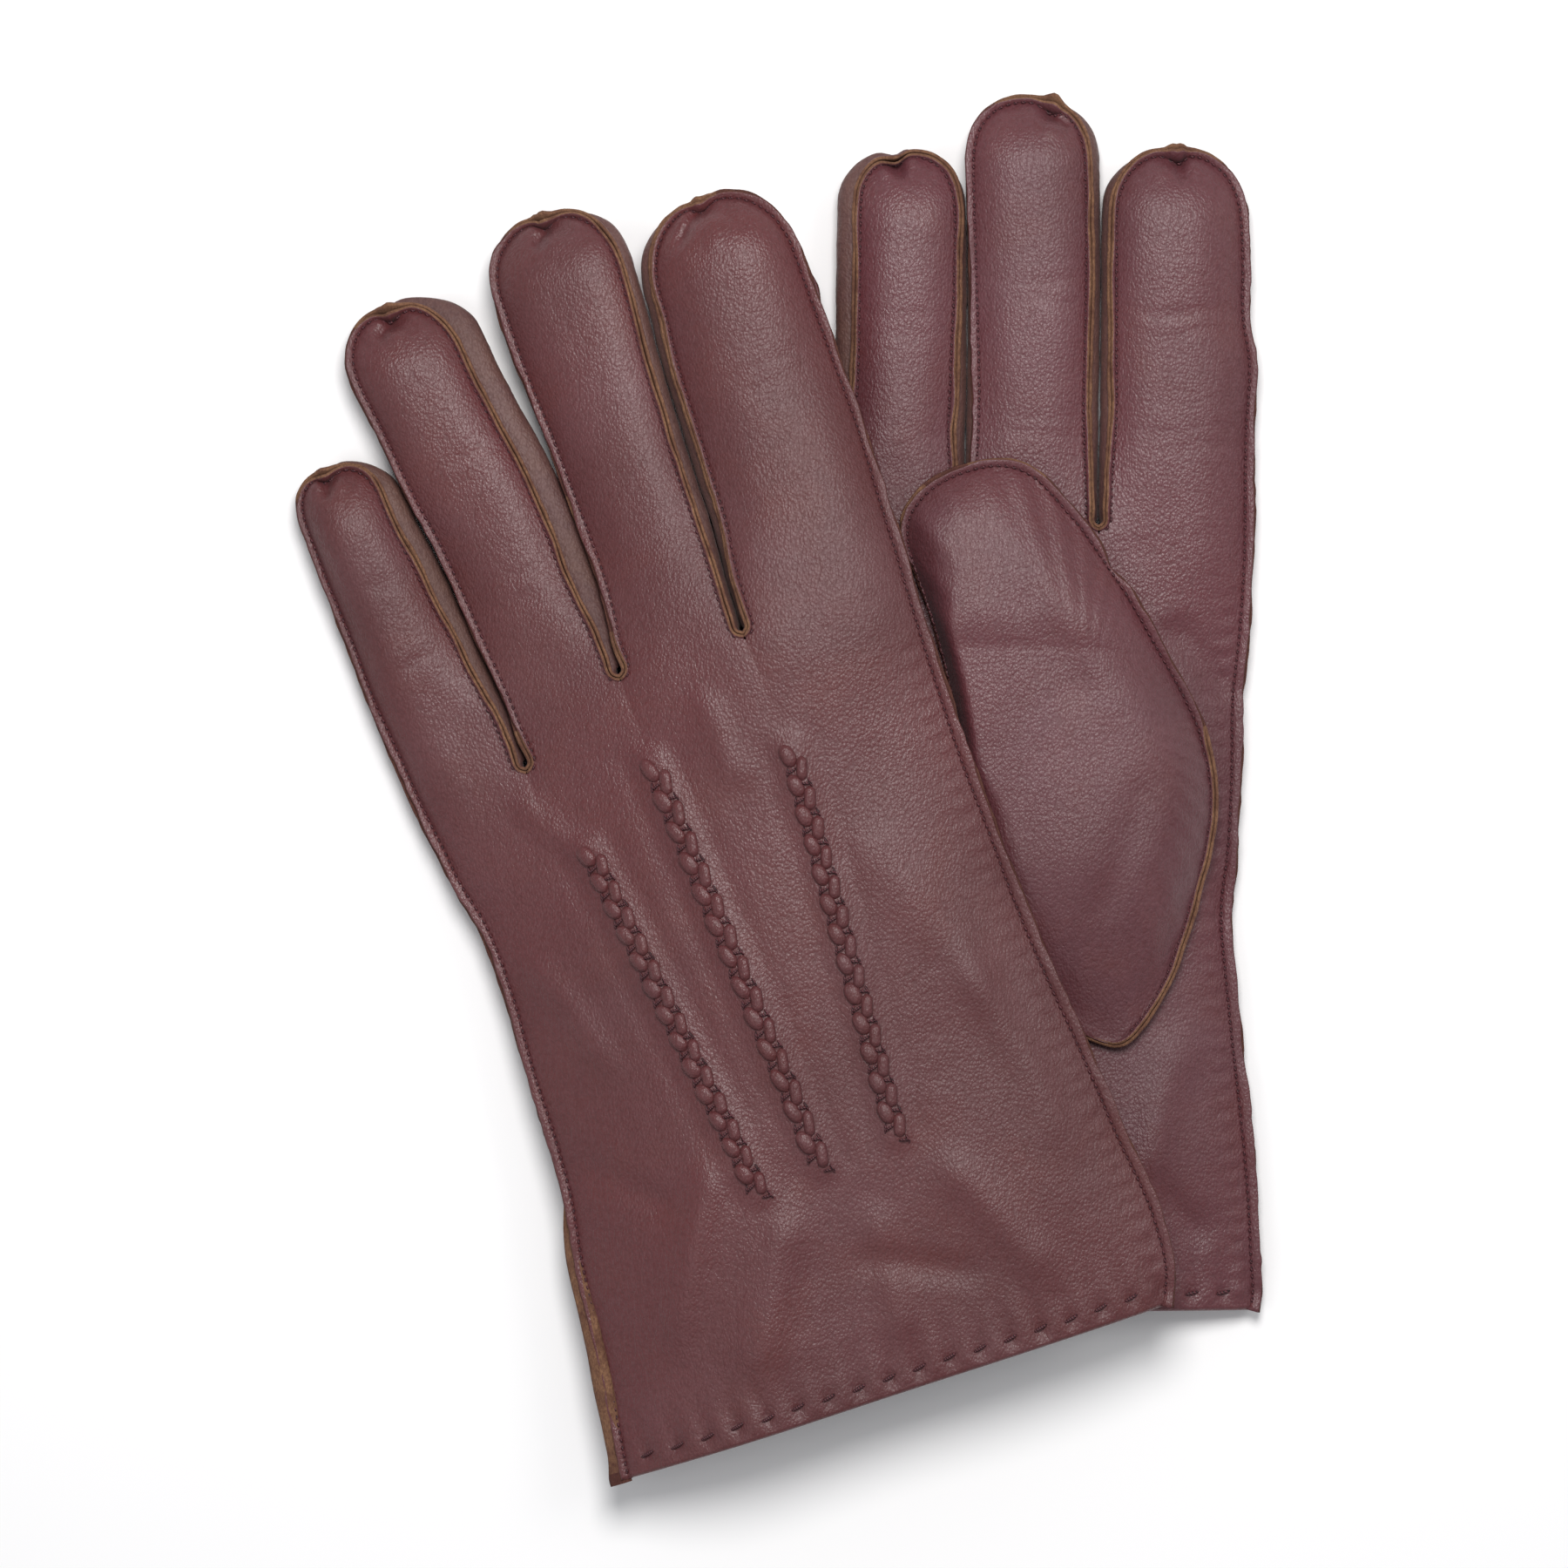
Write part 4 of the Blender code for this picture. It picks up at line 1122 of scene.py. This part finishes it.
def build_points_row(number, top_end, cuff_end):
    """One row of points: two staggered columns of beads on a ridge, with thread pulled into the pits."""
    start = np.array([*top_end, 0.0])
    along = np.array([*cuff_end, 0.0]) - start
    length = np.linalg.norm(along)
    along /= length
    across = np.array([-along[1], along[0], 0.0])
    pitch = length / (BEADS + 0.5)
    bead_quads, _ = ring_strip(np.zeros((BEAD_CELLS, BEAD_CELLS)), closed=False)
    beads, thread_at, thread_along = [], [], []

    def on_back(at, off, lift):
        point = start + along * at + across * off
        point[2] = height_at(top_surface, LEFT, point[0], point[1]) + lift
        return point

    for column, side in enumerate((-1, 1)):
        for i in range(BEADS):
            at = (i + 0.5 + 0.5 * column) * pitch
            turn = -side * BEAD_TURN
            heading = along * math.cos(turn) + across * math.sin(turn)
            beside = across * math.cos(turn) - along * math.sin(turn)
            wide, square = (3.1, 2.6) if side * across[0] < 0 else (2.5, 5.0)
            wide *= 1 + 0.1 * float(NOISE["left"](at * 3.0, 9.0 * number, 5.0))
            centre = on_back(at, side * COLUMN_OFF, 0.12)
            beads.append(half_bead(centre, heading, beside, pitch * 0.8, wide, square))
            for (off, lift), heading in zip(POINT_THREADS, (across, along)):
                thread_at.append(on_back(at + pitch / 2, side * off, lift))
                thread_along.append(heading + 0.25 * side * (along + across))
    faces = np.concatenate([bead_quads + n * BEAD_CELLS**2 for n in range(len(beads))])
    points = placed(LEFT, np.concatenate(beads))
    row = make_object(f"left_point_row_{number}", points, faces, [LEATHER["left"]])
    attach(row, "left_glove")
    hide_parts(f"left_point_{number}")
    directions = np.array(thread_along)
    directions /= np.linalg.norm(directions, axis=1, keepdims=True)
    ups = np.tile([0.0, 0.0, 1.0], (len(thread_at), 1))
    points, faces = stitch_mesh(np.array(thread_at), directions, ups, 0.95, 0.24)
    threads = make_object(f"left_point_thread_{number}", placed(LEFT, points), faces, [THREAD])
    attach(threads, "left_glove")


# ---------------------------------------------------------------- hems and knitted linings

HEM_STITCH_HALF, HEM_STITCH_RADIUS = 1.5, 0.34
LINING_UNDER = 1.7  # height of a finger lining's lower side
LINING_MIDDLE = {"hand": 3.0, "finger": 3.4}


def hem_stitches(glove):
    """The running stitch of the folded hem, on its upper and lower faces."""
    left, right = (float(x) for x in hand_sides(glove, HEM_LINE, inset=2.0))
    noise = NOISE[glove["name"]]
    centres, directions, ups = [], [], []
    for surface, up in ((top_surface, 1), (bottom_surface, -1)):
        for a in np.arange(HEM_START, right, HEM_PITCH):
            if a < left:
                continue
            b = HEM_LINE + 0.25 * float(noise(a, 3.0, 5.0))
            ends = [np.array([a + s * 1.3, b + s * 0.3, 0.0]) for s in (-1, 1)]
            for e in ends:
                e[2] = height_at(surface, glove, e[0], e[1])
            direction = ends[1] - ends[0]
            centres.append((ends[0] + ends[1]) / 2 + [0, 0, 0.12 * up])
            directions.append(direction / np.linalg.norm(direction))
            ups.append([0.0, 0.0, up])
    points, faces = stitch_mesh(np.array(centres), np.array(directions), np.array(ups, float),
                                HEM_STITCH_HALF, HEM_STITCH_RADIUS)
    points[:, 2] = np.maximum(points[:, 2], 0.02)
    obj = make_object(f"{glove['name']}_hem_stitches", placed(glove, points), faces, [THREAD])
    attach(obj, body_frame(glove))
    nodes = [f"{glove['name']}_{w}_thread" for w in ("hem", "index_side", "little_side")]
    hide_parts(*[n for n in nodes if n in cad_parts])


def lining_ring(a, b, low, high):
    """A flat tube's ring at one distance along: its lower side, and back along its upper side."""
    heights = np.concatenate([low, high[::-1]])
    return np.column_stack([np.concatenate([a, a[::-1]]), np.full(len(heights), b), heights])


def lining_tube(glove, rings, name):
    """A knitted tube through its rings."""
    rings = np.stack(rings)
    quads, _ = ring_strip(rings, flip=True)
    return make_object(f"{name}_knitted_lining", placed(glove, rings), quads, [KNIT])


def cuff_lining(glove):
    """The knitted lining inside the cuff and the hand, as a flat tube."""
    middle = LINING_MIDDLE["hand"]
    rings = []
    for b in np.concatenate([np.linspace(11.0, 40.0, 16), np.linspace(46, 136, 14)]):
        left, right = hand_sides(glove, b, inset=1.2)
        a = np.linspace(float(left), float(right), 40)
        u = np.abs(2 * (a - left) / (right - left) - 1)
        top = hand_height(glove, a, np.full_like(a, b)) - 2.15
        ruck = 0.16 * NOISE["left"](a, np.full_like(a, b), 5.0)
        side_drop = np.maximum(u - 0.93, 0) / 0.07 * np.maximum(top - middle, 0)
        high = np.maximum(middle + 0.05, top + ruck) - side_drop
        low = np.minimum(middle - 0.05, 1.75 - ruck * 0.5)
        rings.append(lining_ring(a, b, low, high))
    obj = lining_tube(glove, rings, glove["name"])
    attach(obj, body_frame(glove))
    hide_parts(f"{glove['name']}_hand_lining")


def finger_lining(glove, k):
    """A finger's lining, a closed tube inside the sheath."""
    middle = LINING_MIDDLE["finger"]
    hinge = glove["hinges"][k]
    start = 150.0 if hinge is None else hinge - 8.0
    end = tip_of(glove, k) - 9.0
    rings = []
    for t in np.linspace(0, 1, 22):
        b = mix(start, end, t)
        a = np.linspace(float(edge(glove, k, -1, b)) + 1.9, float(edge(glove, k, 1, b)) - 1.9, 16)
        u = np.linspace(-1, 1, 16)
        top = smooth_top(glove, k, u * 0.86, np.full_like(a, b)) - 1.9
        closing = (1 - 0.8 * ease((t - 0.9) / 0.1)) * (1 - np.abs(u) ** 6) ** 0.5
        rings.append(lining_ring(a, b, mix(middle, LINING_UNDER, closing), mix(middle, top, closing)))
    name = f"{glove['name']}_{FINGER_NAMES[k]}"
    obj = lining_tube(glove, rings, name)
    follow(obj, glove, k)
    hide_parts(f"{name}_lining")


# ---------------------------------------------------------------- thumbs

# The right thumb's outline, as (across, along): from its hidden root under the left glove, round the tip,
# to its base.
THUMB_OUTLINE = (
    (24.0, 51.6), (14.0, 56.5), (5.5, 64), (0.2, 76), (-4.0, 90), (-6.0, 101), (-6.2, 112), (-7.4, 120),
     (-9.6, 130), (-12.6, 140), (-15.6, 148), (-17.2, 154), (-16.7, 159), (-14.2, 162.8), (-10.6, 166.2),
     (-4.7, 169), (1.9, 170.5), (7.3, 169.7), (12, 166.9), (16, 162.2), (20.7, 156.9), (25.2, 150.3),
     (30.6, 142.3), (35.3, 133.6), (40, 125.6), (43.3, 119), (45.4, 113.4), (46.8, 107.8), (47.3, 101.6),
     (46.6, 95), (45.2, 88.4), (43.3, 81.6), (40.9, 73.8), (38.4, 66.6), (35.0, 60.3), (31.4, 55.5),
     (28.2, 52.4), (24.0, 51.6),
)
THUMB_SPINE = ((52, 28.5), (112, 22.0), (160, 3.2), (171, 1.8))  # the thumb's middle line, as (along, across)
THUMB_FOLDS = (
    ((36, 112), (20, 74), 4.0, -0.7),
    ((4, 150), (24, 118), 5.0, -0.45),
    ((40, 92), (28, 62), 3.0, 0.55),
)
THUMB_INSET = 1.6  # from the outline to the stitch line
THUMB_BASE_FROM = 119.0  # below this the thumb is sewn into the palm, raw edges up
THUMB_TOP, THUMB_SEAM = 9.4, 2.0  # heights over what it lies on
THUMB_FLATTENED = 0.36  # the left thumb's share of that, between the gloves
THUMB_RINGS = 44
THUMB_HIDDEN_STITCHES = 12  # steps at each end of the path, under the left glove


def closed_outline(points, spacing):
    """A smooth closed outline, evenly spaced, from points that end where they start."""
    points = np.array(points[:-1], float)
    for _ in range(3):
        following = np.roll(points, -1, axis=0)
        cut = [0.75 * points + 0.25 * following, 0.25 * points + 0.75 * following]
        points = np.stack(cut, axis=1).reshape(-1, 2)
    return resample(np.concatenate([points, points[:1]]), spacing)[:-1]


def thumb_rest(glove, a, b):
    """The height of what the right thumb lies on."""
    return np.maximum(hand_height(glove, a, b), FINGER_HEIGHT * ease((b - 96) / 44)) + 0.3


def thumb_stitch_line():
    """The closed line that the thumb is sewn along, inside its outline."""
    outline = closed_outline(THUMB_OUTLINE, 0.8)
    tangent = np.roll(outline, -1, axis=0) - np.roll(outline, 1, axis=0)
    tangent /= np.linalg.norm(tangent, axis=1, keepdims=True)
    return outline - THUMB_INSET * np.stack([-tangent[:, 1], tangent[:, 0]], axis=1)


def thumb_spine(b):
    """Where the thumb's middle line lies across the glove."""
    return np.interp(b, *zip(*THUMB_SPINE))


def thumb_dome(stitch_line, plan, noise, height_share):
    """The outer face's height over places in the thumb's plan."""
    a, b = plan.T
    distance = np.hypot(a[:, None] - stitch_line[:, 0], b[:, None] - stitch_line[:, 1]).min(axis=1)
    shoulder_left = mix(10.0, 3.4, ease((b - 96) / 16) * ease((152 - b) / 18))
    shoulder = mix(shoulder_left, 15.0, ease((a - thumb_spine(b) + 8) / 14))
    reach = np.minimum(1.0, distance / shoulder)
    root = ease((b - 50) / 42)
    end = 1 - 0.45 * ease((b - 138) / 32)
    z = THUMB_SEAM + (THUMB_TOP - THUMB_SEAM) * (1 - (1 - reach) ** 2.3) * root * end * height_share
    z = z + 0.4 * noise(a, b, 24.0) + 0.12 * noise(a, b + 40, 9.0) + 0.03 * noise(a + 9, b, 4.0)
    return z + 0.22 * (1 - reach) * ease(distance / 1.2) * np.cos(np.arctan2(b - 120, a - 20) * 44)


def thumb_shell(glove, flat):
    """The thumb's outer face, domed from its stitch line, as rings that close on its middle line."""
    stitch_line = thumb_stitch_line()
    spine = np.stack([thumb_spine(stitch_line[:, 1]), np.clip(stitch_line[:, 1], 62, 158)], axis=1)
    noise = NOISE[glove["name"]]
    rings = []
    for t in np.linspace(0, 1, THUMB_RINGS):
        plan = mix(stitch_line, spine, 1 - (1 - t) ** 1.25)
        z = thumb_dome(stitch_line, plan, noise, THUMB_FLATTENED if flat else 1.0)
        for fold in () if flat else THUMB_FOLDS:
            z = z + fold_line(*plan.T, *fold, noise)
        rings.append(np.column_stack([plan, z]))
    return np.stack(rings)


def thumb_path():
    """The thumb's stitch line as a seam path."""
    line = thumb_stitch_line()
    line = np.concatenate([line, line[:1]])
    a, b = line.T
    sewn_in = ease((THUMB_BASE_FROM - b) / 7.0)
    hidden = ease((28 - a) / 4) * ease((153 - b) / 6)
    length = mix(mix(1.75, 1.6, sewn_in), 0.45, hidden)
    side = np.sign(a - np.interp(b, (52, 170), (28, 2)))
    return np.stack([a, b, np.full_like(a, THUMB_SEAM), side, mix(24.0, 66.0, sewn_in), length], axis=1)


def thumb_placed(glove, points):
    """Rows of the thumb's points (..., 3), their heights taken outwards from the palm."""
    points = points.copy()
    if glove is LEFT:
        points[..., 2] = -0.3 - points[..., 2]
    else:
        points[..., 2] += thumb_rest(glove, points[..., 0], points[..., 1])
    return placed(glove, points)


def thumb_follow(obj, glove):
    """The left thumb rides on its glove, and the right one has its transform baked into its mesh."""
    if glove is LEFT:
        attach(obj, "left_glove")
        return
    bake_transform(obj)


def thumb_piece(glove, points, quads, word, *nodes):
    """One leather piece of a thumb, in place of its CAD nodes."""
    name = f"{glove['name']}_thumb"
    obj = make_object(f"{name}_{word}_leather", thumb_placed(glove, points), quads, [LEATHER[glove["name"]]])
    thumb_follow(obj, glove)
    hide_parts(*[f"{name}_{node}" for node in nodes])


def build_thumb(glove):
    """A thumb's outer, inner and side leather, and its seam."""
    flat = glove is LEFT
    outer = thumb_shell(glove, flat)
    inner = outer.copy()
    inner[..., 2] = 0.1 + 0.08 * NOISE["right"](outer[..., 0], outer[..., 1], 6.0)
    path = thumb_path()
    side = np.repeat(path[:, None, :3], 4, axis=1)
    side[..., 2] = np.linspace(1.9, 0.1, 4)
    thumb_piece(glove, outer, ring_strip(outer, flip=not flat)[0], "outer", "root", "front")
    thumb_piece(glove, inner, ring_strip(outer, flip=flat)[0], "inner", "back")
    thumb_piece(glove, side, ring_strip(side, closed=False)[0], "side", "lining")
    name = f"{glove['name']}_thumb_seam"
    if flat:
        path[:, 2], path[:, 4], path[:, 5] = -1.75, 4.0, 1.5
        edges = lips(glove, path, f"{name}_edges", layers=(1,))
        stitches = seam_stitches(glove, path, f"{name}_stitches", under=True)
    else:
        path[:, 2] += thumb_rest(glove, path[:, 0], path[:, 1])
        edges = lips(glove, path, f"{name}_edges")
        visible = path[THUMB_HIDDEN_STITCHES:-THUMB_HIDDEN_STITCHES]
        stitches = seam_stitches(glove, visible, f"{name}_stitches")
    thumb_follow(edges, glove)
    thumb_follow(stitches, glove)


# ---------------------------------------------------------------- stage, light and camera

FLOOR_HALF = 3.0  # metres
FLOOR_DROP = 0.0004
LENS, SENSOR = 200.0, 36.0
VIEW_WIDTH = 313.2 * MM
VIEW_HEIGHT = 7.5 * MM  # the level that fills the view's width exactly


def stage():
    """A pale floor just below the gloves."""
    floor = Nodes("pale_floor")
    mesh = bpy.data.meshes.new("floor")
    corners = [(x * FLOOR_HALF, y * FLOOR_HALF, 0) for x, y in ((-1, -1), (1, -1), (1, 1), (-1, 1))]
    mesh.from_pydata(corners, [], [(0, 1, 2, 3)])
    pale = (0.96, 0.96, 0.96, 1)
    mesh.materials.append(floor.finish(base_color=pale, roughness=0.9, specular_ior_level=0.1))
    obj = bpy.data.objects.new("floor", mesh)
    bpy.context.scene.collection.objects.link(obj)
    obj.location.z = -FLOOR_DROP


def area_light(name, place_at, size, power, colour):
    """A round light that points at the gloves."""
    data = bpy.data.lights.new(name, "AREA")
    data.shape, data.size, data.energy, data.color = "DISK", size, power, colour
    obj = bpy.data.objects.new(name, data)
    bpy.context.scene.collection.objects.link(obj)
    obj.location = place_at
    obj.visible_camera = False
    obj.rotation_euler = (Vector((0, 0, 0)) - Vector(place_at)).to_track_quat("-Z", "Y").to_euler()


def camera():
    """Straight down, from far away."""
    data = bpy.data.cameras.new("camera")
    data.lens, data.sensor_width = LENS, SENSOR
    data.clip_end = 20.0
    obj = bpy.data.objects.new("camera", data)
    bpy.context.scene.collection.objects.link(obj)
    obj.location = (0.6 * MM, -0.1 * MM, VIEW_WIDTH * LENS / SENSOR + VIEW_HEIGHT)
    bpy.context.scene.camera = obj


def lights():
    """A soft key from beyond the fingertips, two weak lights beside it, and an even sky."""
    world = bpy.data.worlds.new("studio")
    bpy.context.scene.world = world
    world.use_nodes = True
    sky = world.node_tree.nodes["Background"].inputs
    sky["Color"].default_value = (0.93, 0.96, 1.0, 1)
    sky["Strength"].default_value = 0.36
    area_light("key", (0.04, 0.34, 0.8), 0.42, 6.2, (1.0, 0.98, 0.97))
    area_light("side", (0.8, 0.3, 0.7), 0.4, 1.4, (1.0, 0.985, 0.96))
    area_light("low", (-0.5, -0.3, 0.8), 0.6, 1.0, (1.0, 0.97, 0.97))
    bpy.context.scene.view_settings.view_transform = "Standard"
    bpy.context.scene.view_settings.look = "None"


# ---------------------------------------------------------------- everything is made here

for _glove in GLOVES:
    for _upper in (True, False):
        panel(_glove, _upper)
for _glove in GLOVES:
    for _k in range(4):
        finger_seams(_glove, _k)
turned_allowance()
for _number, _ends in enumerate(POINTS, 1):
    build_points_row(_number, *_ends)
for _glove in GLOVES:
    hem_stitches(_glove)
    cuff_lining(_glove)
    for _k in range(4):
        finger_lining(_glove, _k)
for _glove in GLOVES:
    build_thumb(_glove)
stage()
lights()
camera()
